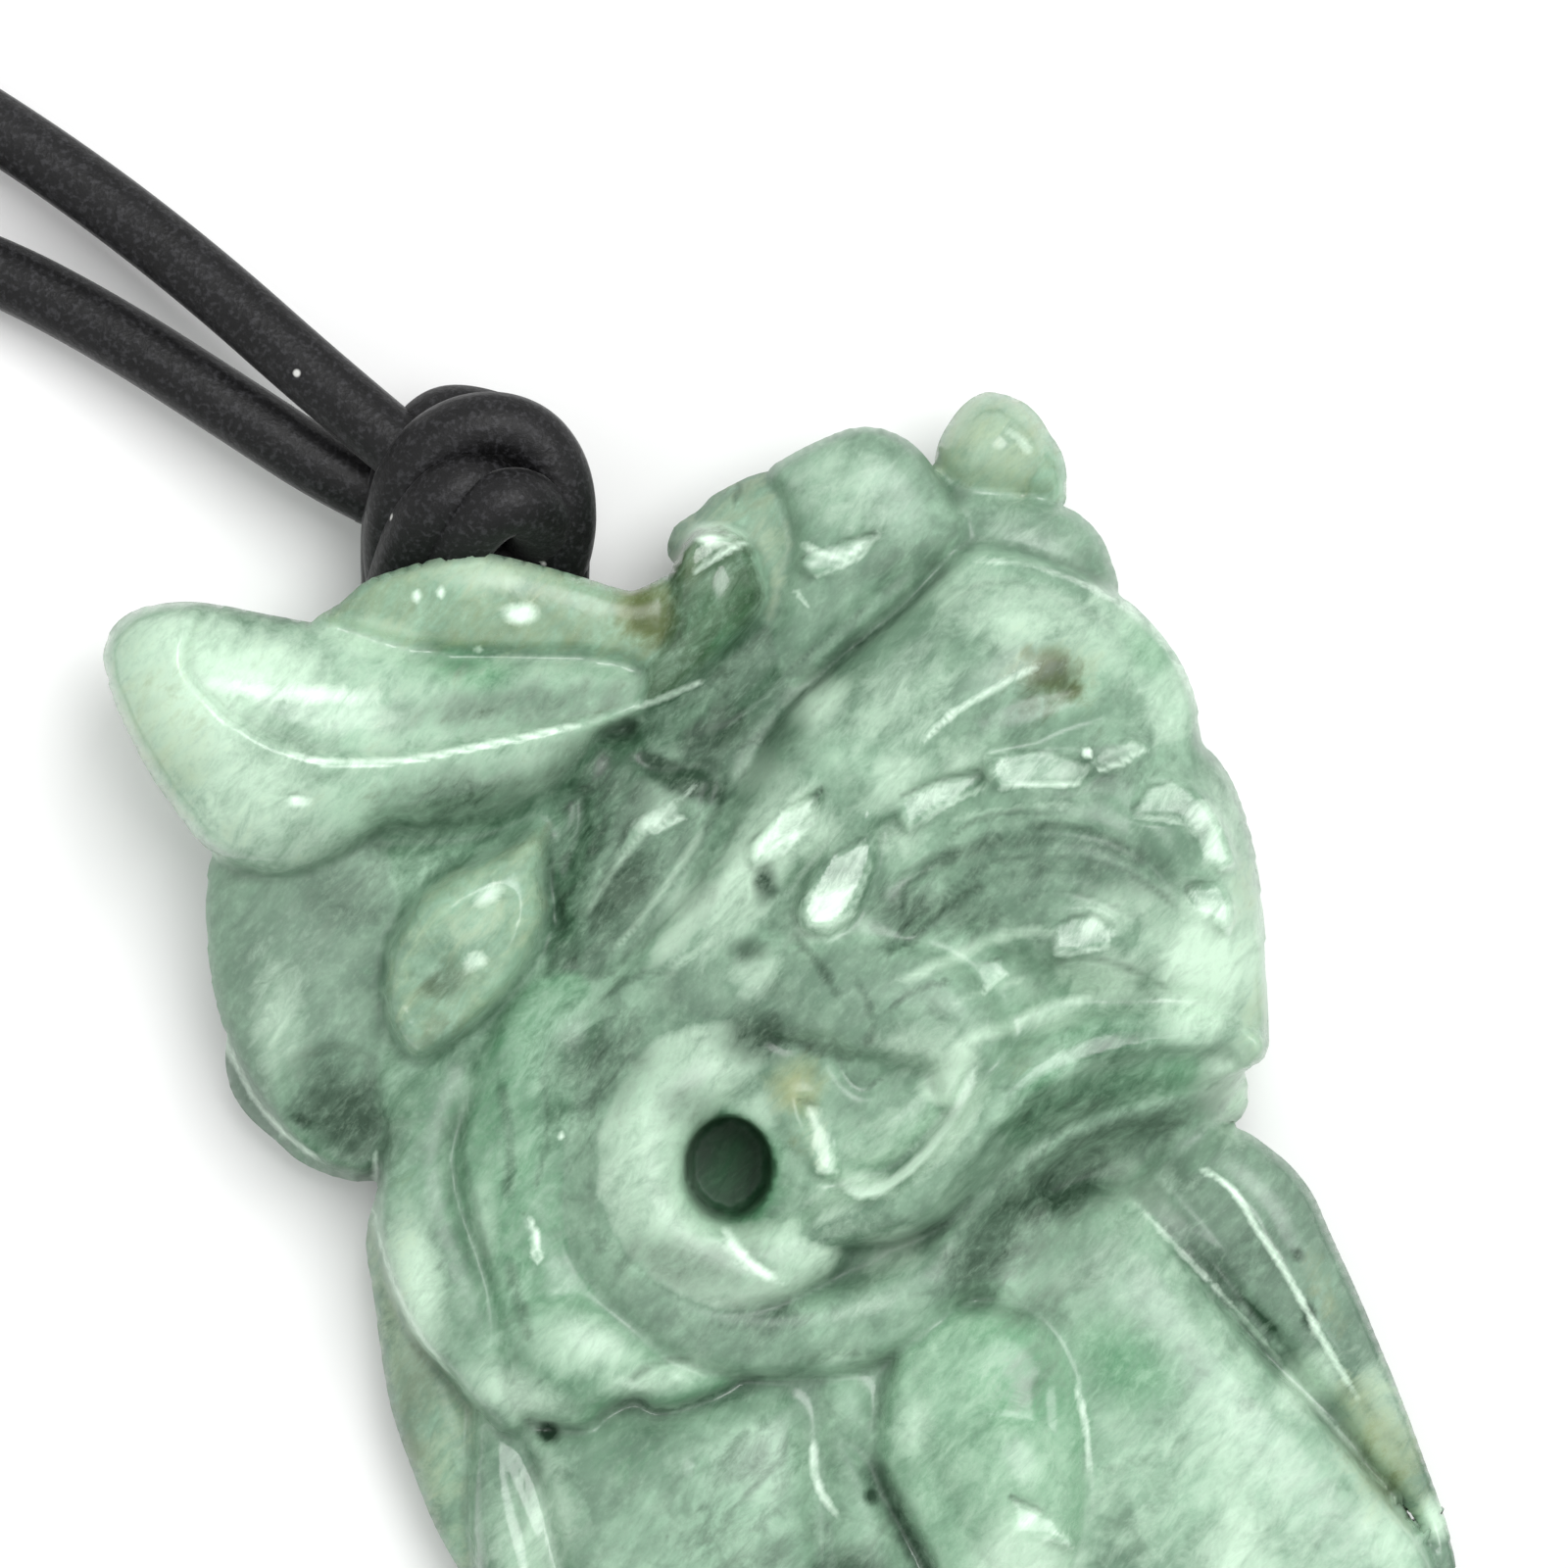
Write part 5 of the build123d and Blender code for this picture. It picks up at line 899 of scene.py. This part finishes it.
def sheets_to_mesh(name, r, values):
    """A closed mesh of the two sheets and an upright edge between them, whose points are moved out onto the
    outline."""
    node = r.inside > 0
    cell = node[:-1, :-1] & node[1:, :-1] & node[:-1, 1:] & node[1:, 1:]
    touched = np.zeros(node.shape, dtype=int)
    for dy in (0, 1):
        for dx in (0, 1):
            touched[dy : dy + cell.shape[0], dx : dx + cell.shape[1]] += cell
    used = touched > 0
    rim = used & (touched < 4)
    gy, gx = np.gradient(r.soften(r.inside, 1), CELL)
    steep = np.maximum(np.hypot(gx, gy), LEAST_STEEP)
    x, y = r.x.copy(), r.y.copy()
    for _ in range(RIM_STEPS):
        left = r.sample(r.inside, x, y)
        move = np.where(rim, np.clip(left, -CELL, 1.5 * CELL), 0) / steep
        x -= move * gx / steep
        y -= move * gy / steep
    thick = r.top - r.under
    top = np.where(rim, r.top - RIM_TOP * thick, r.top)
    under = np.where(rim, r.under + RIM_UNDER * thick, r.under)
    first = np.cumsum(used).reshape(used.shape) - 1
    count = int(used.sum())
    second = first + count
    rows, columns = np.nonzero(cell)

    def corners(index, order):
        return np.stack([index[rows + dy, columns + dx] for dx, dy in order], axis=1)

    faces = [
        corners(first, ((0, 0), (1, 0), (1, 1), (0, 1))), corners(second, ((0, 0), (0, 1), (1, 1), (1, 0))),
    ]
    around = np.pad(cell, 1)
    for (ax, ay), (bx, by), beyond in (
        ((0, 0), (1, 0), around[:-2, 1:-1]), ((1, 0), (1, 1), around[1:-1, 2:]),
        ((1, 1), (0, 1), around[2:, 1:-1]), ((0, 1), (0, 0), around[1:-1, :-2]),
    ):
        i, j = np.nonzero(cell & ~beyond)
        a, b = first[i + ay, j + ax], first[i + by, j + bx]
        faces.append(np.stack([b, a, a + count, b + count], axis=1))
    faces = np.concatenate(faces)
    points = np.concatenate([np.stack([x[used], y[used], sheet[used]], axis=1) for sheet in (top, under)])
    points[:, 0] -= MIDDLE_OF_STONE[0]
    points[:, 1] -= MIDDLE_OF_STONE[1]
    mesh = bpy.data.meshes.new(name)
    mesh.vertices.add(len(points))
    mesh.vertices.foreach_set("co", (points * MM).ravel())
    mesh.loops.add(faces.size)
    mesh.loops.foreach_set("vertex_index", faces.ravel())
    mesh.polygons.add(len(faces))
    mesh.polygons.foreach_set("loop_start", np.arange(len(faces)) * 4)
    mesh.update(calc_edges=True)
    mesh.validate()
    mesh.polygons.foreach_set("use_smooth", np.ones(len(mesh.polygons), dtype=bool))
    for key, field in values.items():
        layer = mesh.attributes.new(key, "FLOAT", "POINT")
        layer.data.foreach_set("value", np.concatenate([field[used], field[used]]).astype(np.float32))
    piece = placed(name, mesh)
    piece.vertex_groups.new(name="underside").add(range(count + 1, 2 * count), 1.0, "REPLACE")
    return piece


def stroked(r, field, strokes):
    """Lays strokes on a field: bells along lines, each one as far as it is stronger than what is there."""
    for points, half_width, strength in strokes:
        line = curved(points)
        where = r.window(line, 3 * half_width)
        far, along = r.nearest(where, line)
        stroke = strength * tapered(along, STROKE_ENDS, STROKE_LEFT) * bell(far, half_width)
        field[where] = np.maximum(field[where], stroke)


def painted_facet_light(r, field, key):
    """Lays the facets' painted light on a field: for the painted highlight their flats and their lower right
    edges, and for the dark layer painted shade along their upper left edges."""
    for outline in FACETS:
        where, signed = r.around(outline, steps=1)
        upward, sideways = np.gradient(signed, CELL)
        faces = (upward - RIGHT_SHARE * sideways) / np.maximum(np.hypot(upward, sideways), LEAST_STEEP)
        edge = bell(signed, FACET_EDGE)
        if key == "glint":
            lit = PAINTED_LIT_EDGE * edge * np.clip(faces, 0, 1)
            shade = np.maximum(FACET_PAINTED_HIGHLIGHT * covered(signed, PAINTED_HIGHLIGHT_EDGE), lit)
        else:
            shade = PAINTED_SHADED_EDGE * edge * np.clip(-faces, 0, 1)
        field[where] = np.maximum(field[where], shade)


def painted(r, key):
    """How strong a tint is at each grid point: the strongest of its form's share, its strokes, the facets and
    its spots, each one a turned bell with a flattened top."""
    field = np.zeros(r.x.shape)
    for form, shares in FORM_TINTS.items():
        field = np.where(r.form == r.names[form], shares.get(key, 0), field)
    field = r.soften(field, 1)
    stroked(r, field, STROKES.get(key, ()))
    if key == "dark":
        # Each cut that is deep enough gets a line of painted shade along its bottom
        deep = [cut for cut in CUTS if cut[1] > SHALLOW_CUT]
        stroked(r, field, [(points, half / 2, CUT_SHADE * min(depth, 1)) for points, depth, half in deep])
    if key in ("glint", "dark"):
        painted_facet_light(r, field, key)
    for x, y, long_half, short_half, turn, strength in TINTS[key]:
        c, s = math.cos(math.radians(turn)), math.sin(math.radians(turn))
        across = ((r.x - x) * c + (r.y - y) * s) / long_half
        up = (-(r.x - x) * s + (r.y - y) * c) / short_half
        field = np.maximum(field, strength * np.exp(-(across**2 + up**2) ** SPOT_FLATNESS * SPOT_FALL))
    return field


def painted_hollow_shade(r):
    """Painted shade in recesses: how deep each grid point lies under the wide average of the heights
    round it, fading out at the rim.
    """
    weight = r.soften(np.where(r.inside > 0, 1.0, 0.0), HOLLOW_REACH)
    wide = r.soften(np.where(r.inside > 0, r.top, 0), HOLLOW_REACH) / np.maximum(weight, LEAST_WEIGHT)
    dark = np.clip((wide - r.top) * HOLLOW_GAIN - HOLLOW_START, 0, HOLLOW_MOST)
    return dark * np.clip(r.inside / HOLLOW_FADE, 0, 1)


def add(tree, kind, links=None, **settings):
    """One node: its properties by name, its sockets by name or number, and what is linked to them."""
    node = tree.nodes.new(kind)
    for key, value in settings.items():
        if key in node.inputs:
            node.inputs[key].default_value = value
        else:
            setattr(node, key, value)
    for key, source in (links or {}).items():
        target = node.inputs[key]
        if isinstance(source, tuple):
            tree.links.new(source[0].outputs[source[1]], target)
        elif isinstance(source, bpy.types.Node):
            tree.links.new(source.outputs[0], target)
        else:
            target.default_value = source
    return node


def new_material(name):
    """An empty material with its output node."""
    material = bpy.data.materials.new(name)
    material.use_nodes = True
    material.node_tree.nodes.clear()
    return material, material.node_tree, material.node_tree.nodes.new("ShaderNodeOutputMaterial")


def tinted(tree, base, colour, amount):
    """The base colour mixed towards another one."""
    mix = add(tree, "ShaderNodeMix", data_type="RGBA")
    for socket, value in ((mix.inputs[6], base), (mix.inputs[7], colour), (mix.inputs[0], amount)):
        if isinstance(value, tuple):
            tree.links.new(value[0].outputs[value[1]], socket)
        elif isinstance(value, bpy.types.Node):
            tree.links.new(value.outputs[0], socket)
        else:
            socket.default_value = value
    return mix, 2


def spread(tree, source, low, high, most=1.0, least=0.0):
    """A source whose range from low to high is spread from the least to the most."""
    return add(tree, "ShaderNodeMapRange", {0: source},
               **{"From Min": low, "From Max": high, "To Min": least, "To Max": most})


def veined(tree, base, colour, source, low, high, most=1.0):
    """The base mixed towards a colour where a source rises from low to high, at most by the most."""
    return tinted(tree, base, colour, spread(tree, source, low, high, most))


def noise(tree, place, size, detail=2.0, roughness=0.5, distortion=0.0):
    """Noise whose largest features are about so many millimetres across."""
    return add(tree, "ShaderNodeTexNoise", {0: place}, Scale=1 / (size * MM), Detail=detail,
               Roughness=roughness, Distortion=distortion)


def surfaced(tree, output, links=None, **settings):
    """The shader of a material, linked to its output."""
    shader = add(tree, "ShaderNodeBsdfPrincipled", links, **settings)
    tree.links.new(shader.outputs[0], output.inputs[0])


def jadeite(colours):
    """Jadeite, sawn, ground and polished with diamond paste: a cloudy green stone that lets light in a little
    way and shines like glass, with sharp window-shaped highlights on its rounded forms. Its colour also holds
    painted highlights on facets and edges, and painted shade in recesses and cuts."""
    material, tree, output = new_material("polished_jadeite")
    place = (add(tree, "ShaderNodeTexCoord"), OBJECT_SPACE)
    clouds = noise(tree, place, 5.263, 4.0, 0.55, 0.6)
    grain = noise(tree, place, 1.111, 5.0, 0.65)
    fibres = noise(tree, place, 2.381, 3.0, distortion=2.2)
    base = veined(tree, colours.pale_green, colours.mid_green, clouds, 0.38, 0.62)
    # The stone's streaks run up to the right
    turned = add(tree, "ShaderNodeMapping", {0: place}, vector_type="TEXTURE", Rotation=(0.0, 0.0, 0.85),
                 Scale=(1.0, 0.45, 1.0))
    base = veined(tree, base, colours.mid_green, noise(tree, turned, 1.613, 4.0, 0.6, 0.8), 0.44, 0.62, 0.34)
    base = veined(tree, base, colours.light_vein, grain, 0.45, 0.72, 0.36)
    base = veined(tree, base, colours.dark_green_and_shade, fibres, 0.55, 0.72, 0.3)
    # A tint shows where its strength is more than this cloud's, which breaks up its edges
    broken = spread(tree, noise(tree, turned, 1.282, 6.0, 0.7, 0.5), 0.3, 0.7, -0.7)
    # These layers lay painted highlight, and in the dark and pale layers painted shade and highlight, as
    # colour
    for key, colour_name in LAYERS.items():
        layer = add(tree, "ShaderNodeAttribute", attribute_name=key)
        uneven = add(tree, "ShaderNodeMath", {0: (layer, STRENGTH), 1: 1.7, 2: broken},
                     operation="MULTIPLY_ADD", use_clamp=True)
        base = tinted(tree, base, getattr(colours, colour_name), uneven)
    patches = noise(tree, turned, 2.778, 3.0, 0.55, 1.4)
    base = veined(tree, base, colours.dark_green_and_shade, patches, 0.48, 0.41, 0.07)
    base = veined(tree, base, colours.light_vein, patches, 0.53, 0.58, 0.07)
    fine = noise(tree, turned, 0.4167, 4.0, 0.7)
    base = veined(tree, base, colours.dark_green_and_shade, fine, 0.5, 0.34, 0.1)
    base = veined(tree, base, colours.light_vein, fine, 0.52, 0.68, 0.13)
    # Painted shade in recesses and cuts, in the groove colour
    hollow = add(tree, "ShaderNodeAttribute", attribute_name="hollow")
    base = tinted(tree, base, colours.groove_shade_green, (hollow, STRENGTH))
    wear = spread(tree, grain, 0.0, 1.0, 0.26, 0.12)
    dull = add(tree, "ShaderNodeAttribute", attribute_name="dull")
    rough = add(tree, "ShaderNodeMath", {0: (dull, STRENGTH), 1: 0.4, 2: wear}, operation="MULTIPLY_ADD")
    bump = add(tree, "ShaderNodeBump", {"Height": fibres}, Strength=0.12, Distance=0.2 * MM)
    surfaced(tree, output, {"Base Color": base, "Roughness": rough, "Normal": bump},
             **{"IOR": 1.66, "Specular IOR Level": 0.32, "Subsurface Weight": 0.15,
                "Subsurface Scale": 0.5 * MM, "Subsurface Radius": (0.7, 1.0, 0.8)})
    return material


def rubber(colours):
    """Neoprene cord, extruded: soft black with a grey satin sheen along its lit side and a fine dusty
    grain."""
    material, tree, output = new_material("extruded_rubber")
    place = (add(tree, "ShaderNodeTexCoord"), OBJECT_SPACE)
    grain = noise(tree, place, 0.1923, 3.0, 0.6)
    scuffs = noise(tree, place, 1.4286, 4.0, 0.7)
    # Specks of dust, one in about 3 mm
    dust = add(tree, "ShaderNodeTexVoronoi", {0: place}, Scale=1 / (2.941 * MM))
    base = veined(tree, colours.rubber_black, colours.rubber_grey, scuffs, 0.4, 0.8)
    base = veined(tree, base, colours.rubber_dust, grain, 0.5, 0.66, 0.5)
    base = veined(tree, base, colours.cord_speck, dust, 0.05, 0.03)
    rough = spread(tree, scuffs, 0.0, 1.0, 0.62, 0.42)
    bump = add(tree, "ShaderNodeBump", {"Height": grain}, Strength=0.5, Distance=0.06 * MM)
    surfaced(tree, output, {"Base Color": base, "Roughness": rough, "Normal": bump},
             **{"IOR": 1.52, "Specular IOR Level": 0.3, "Sheen Weight": 0.12, "Sheen Roughness": 0.3})
    return material


def steel(colours):
    """Stainless steel, turned and brushed round the barrel: fine rings that stretch the highlight."""
    material, tree, output = new_material("brushed_steel")
    place = (add(tree, "ShaderNodeTexCoord"), OBJECT_SPACE)
    # Rings 0.11 mm apart that run 3.3 mm round the barrel
    stretch = add(tree, "ShaderNodeMapping", {0: place}, Scale=(9000.0, 300.0, 300.0))
    lines = add(tree, "ShaderNodeTexNoise", {0: stretch}, Scale=1.0, Detail=2.0)
    rough = spread(tree, lines, 0.0, 1.0, 0.4, 0.24)
    bump = add(tree, "ShaderNodeBump", {"Height": lines}, Strength=0.15, Distance=0.02 * MM)
    surfaced(tree, output, {"Roughness": rough, "Normal": bump},
             **{"Base Color": colours.steel_grey, "Metallic": 1.0})
    return material


def moved(points):
    """Layout points in millimetres as points of the part in metres."""
    p = np.asarray(points, dtype=float)
    return (p - [*MIDDLE_OF_STONE, 0.0]) * MM


def cord_curve(name, routes, diameter, material):
    """A round cord: one smooth NURBS spline for each route, whose points are its control points."""
    curve = bpy.data.curves.new(name, "CURVE")
    curve.dimensions = "3D"
    curve.bevel_depth = diameter / 2
    curve.bevel_resolution = 6
    curve.use_fill_caps = True
    curve.resolution_u = 12
    for route in routes:
        points = moved(route)
        spline = curve.splines.new("NURBS")
        spline.points.add(len(points) - 1)
        spline.points.foreach_set("co", np.concatenate([points, np.ones((len(points), 1))], axis=1).ravel())
        spline.order_u = 3
        spline.use_endpoint_u = True
        spline.use_smooth = True
    curve.materials.append(material)
    return placed(name, curve)


def to_mesh(piece):
    """Turns a curve into the mesh that it shows."""
    bpy.ops.object.select_all(action="DESELECT")
    piece.select_set(True)
    bpy.context.view_layer.objects.active = piece
    bpy.ops.object.convert(target="MESH")


def colour_choice(name, description, hex_colour):
    """A colour that a user may change, given as sRGB hex."""
    return bpy.props.FloatVectorProperty(name=name, description=description, default=linear(hex_colour),
                                         subtype="COLOR", size=4, min=0.0, max=1.0)


class PendantColours(bpy.types.PropertyGroup):
    """Colours of the stone, the cord and the clasp."""

    pale_green: colour_choice("Pale green", "Light clouds of the stone", "#90b399")
    mid_green: colour_choice("Mid green", "Body colour of the stone", "#62816b")
    light_vein: colour_choice("Light vein", "Fine light flecks", "#b3d0b7")
    grey_green: colour_choice("Grey green", "Greyish zones", "#667e6d")
    apple_green: colour_choice("Apple green", "Vivid zones", "#4c8d61")
    # Also the colour of painted highlight on polished flats and the lip's crest
    milky_green_and_highlight: colour_choice("Milky green", "Whitish zones", "#c4dfc8")
    honey: colour_choice("Honey", "Warm stains", "#8f9d75")
    rust: colour_choice("Rust", "Brown spots", "#4f5e2e")
    # Also the colour of the painted shade in creases, recesses and cut bottoms
    dark_green_and_shade: colour_choice("Dark green", "Dark clouds and specks", "#27422f")
    # The colour of the painted highlights on polished edges and facets
    painted_highlight_green: colour_choice("Glint green", "Polished edges and facets", "#dcf3e0")
    # The colour of the painted shade in recesses and at the bottom of the cuts
    groove_shade_green: colour_choice("Groove green", "Bottom of the cuts", "#1c3325")
    rubber_black: colour_choice("Rubber black", "Cord", "#060607")
    rubber_grey: colour_choice("Rubber grey", "Scuffed cord", "#121214")
    rubber_dust: colour_choice("Rubber dust", "Grain of the cord", "#3c3c3f")
    steel_grey: colour_choice("Steel", "Clasp", "#b9bbbd")
    cord_speck: colour_choice("Cord speck", "Bright specks of dust on the cord", "#c9c9c6")
    board_white: colour_choice("Board white", "Floor", "#f4f4f4")


class PendantSizes(bpy.types.PropertyGroup):
    """Sizes of the cord and of the view."""

    cord_diameter: bpy.props.FloatProperty(
        name="Cord diameter", description="Thickness of the round cord", default=CORD_DIAMETER, unit="LENGTH")
    # The photograph is 1600 px wide, and 35 px are 1 mm
    view_width: bpy.props.FloatProperty(
        name="View width", description="How wide a square the camera sees", default=0.045714, unit="LENGTH")
    camera_height: bpy.props.FloatProperty(
        name="Camera height", description="How far the camera stands above the floor", default=0.45,
        unit="LENGTH")


class PENDANT_OT_cords(bpy.types.Operator):
    """Lays the two strands of the cord and gives the clasp its steel"""

    bl_idname = "pendant.cords"
    bl_label = "Cords and clasp"

    def execute(self, context):
        colours, sizes = context.scene.pendant_colours, context.scene.pendant_sizes
        material = rubber(colours)
        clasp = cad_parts["clasp"]
        clasp.data.materials.clear()
        clasp.data.materials.append(steel(colours))
        for name, route, length, end, pieces in (
            ("outer_strand", OUTER_ROUTE, OUTER_LENGTH, "fitting", [clasp]),
            ("inner_strand", INNER_ROUTE, INNER_LENGTH, "object", []),
        ):
            piece = cord_curve(name, [route], sizes.cord_diameter, material)
            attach(piece, "root")
            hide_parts({"outer_strand": "cord_outer", "inner_strand": "cord_inner"}[name])
        return {"FINISHED"}


class PENDANT_OT_knot(bpy.types.Operator):
    """Ties the knot above the stone and runs the loop down behind the horn"""

    bl_idname = "pendant.knot"
    bl_label = "Knot"

    def execute(self, context):
        material = bpy.data.materials["extruded_rubber"]
        diameter = context.scene.pendant_sizes.cord_diameter
        turns = cord_curve("tied_knot", KNOT_TURNS, diameter, material)
        loop = cord_curve("loop_through_stone", [LOOP], diameter, material)
        for piece, node in ((turns, "cord_knot"), (loop, "stone_loop")):
            to_mesh(piece)
            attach(piece, "root")
            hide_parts(node)
        return {"FINISHED"}


class PENDANT_OT_stone(bpy.types.Operator):
    """Carves the stone and polishes it"""

    bl_idname = "pendant.stone"
    bl_label = "Stone"

    def execute(self, context):
        r = carve()
        values = {key: painted(r, key) for key in (*LAYERS, "dull")}
        # Painted shade in recesses
        values["hollow"] = painted_hollow_shade(r)
        piece = sheets_to_mesh("carved_stone", r, values)
        triangles = 2 * len(piece.data.polygons)
        if triangles > MOST_TRIANGLES:
            thin = piece.modifiers.new("Thin out", "DECIMATE")
            thin.ratio = MOST_TRIANGLES / triangles
            thin.vertex_group = "underside"
        piece.data.materials.append(jadeite(context.scene.pendant_colours))
        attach(piece, "root")
        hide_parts("dragon_stone")
        return {"FINISHED"}


class PENDANT_OT_stage(bpy.types.Operator):
    """Puts down the white floor, the lights and the camera"""

    bl_idname = "pendant.stage"
    bl_label = "Stage"

    def execute(self, context):
        sizes = context.scene.pendant_sizes
        half = FLOOR_HALF
        mesh = bpy.data.meshes.new("floor")
        corners = [(-half, -half, 0), (half, -half, 0), (half, half, 0), (-half, half, 0)]
        mesh.from_pydata(corners, [], [(0, 1, 2, 3)])
        floor = placed("floor", mesh)
        material, tree, output = new_material("white_board")
        surfaced(tree, output, **{"Base Color": context.scene.pendant_colours.board_white, "Roughness": 0.9,
                                  "Specular IOR Level": 0.1})
        mesh.materials.append(material)

        world = bpy.data.worlds.new("studio")
        context.scene.world = world
        world.use_nodes = True
        world.node_tree.nodes["Background"].inputs[0].default_value = (1, 1, 1, 1)
        world.node_tree.nodes["Background"].inputs[1].default_value = ROOM_LIGHT

        centre = moved(MIDDLE_OF_VIEW)
        for name, offset, size, power in SOFTBOXES:
            lamp = bpy.data.lights.new(name, "AREA")
            lamp.shape = "SQUARE"
            lamp.size = size
            lamp.energy = power
            light = placed(name, lamp)
            light.location = centre + offset
            x, y, z = offset
            light.rotation_euler = (math.atan2(math.hypot(x, y), z), 0, math.atan2(y, x) + math.pi / 2)

        camera = bpy.data.cameras.new("camera")
        camera.sensor_width = CAMERA_SENSOR
        camera.sensor_height = CAMERA_SENSOR
        camera.sensor_fit = "HORIZONTAL"
        camera.lens = CAMERA_SENSOR * (sizes.camera_height - LEVEL_OF_VIEW) / sizes.view_width
        camera.clip_start = 0.01
        camera.clip_end = 5.0
        looking = placed("camera", camera)
        looking.location = centre + np.array([0, 0, sizes.camera_height])
        context.scene.camera = looking
        context.scene.view_settings.view_transform = "Standard"
        return {"FINISHED"}


class PENDANT_PT_panel(bpy.types.Panel):
    bl_idname = "PENDANT_PT_panel"
    bl_label = "Pendant"
    bl_space_type = "VIEW_3D"
    bl_region_type = "UI"
    bl_category = "Pendant"

    def draw(self, context):
        for group in (context.scene.pendant_sizes, context.scene.pendant_colours):
            for key in group.__annotations__:
                self.layout.prop(group, key)
        for step in STEPS:
            self.layout.operator(step.bl_idname)


STEPS = (PENDANT_OT_stage, PENDANT_OT_cords, PENDANT_OT_knot, PENDANT_OT_stone)
CLASSES = (PendantColours, PendantSizes, *STEPS, PENDANT_PT_panel)


def register():
    for c in CLASSES:
        bpy.utils.register_class(c)
    bpy.types.Scene.pendant_colours = bpy.props.PointerProperty(type=PendantColours)
    bpy.types.Scene.pendant_sizes = bpy.props.PointerProperty(type=PendantSizes)


def unregister():
    del bpy.types.Scene.pendant_sizes
    del bpy.types.Scene.pendant_colours
    for c in reversed(CLASSES):
        bpy.utils.unregister_class(c)


def main():
    register()
    bpy.ops.pendant.stage()
    bpy.ops.pendant.cords()
    bpy.ops.pendant.knot()
    bpy.ops.pendant.stone()


if __name__ == "__main__":
    main()
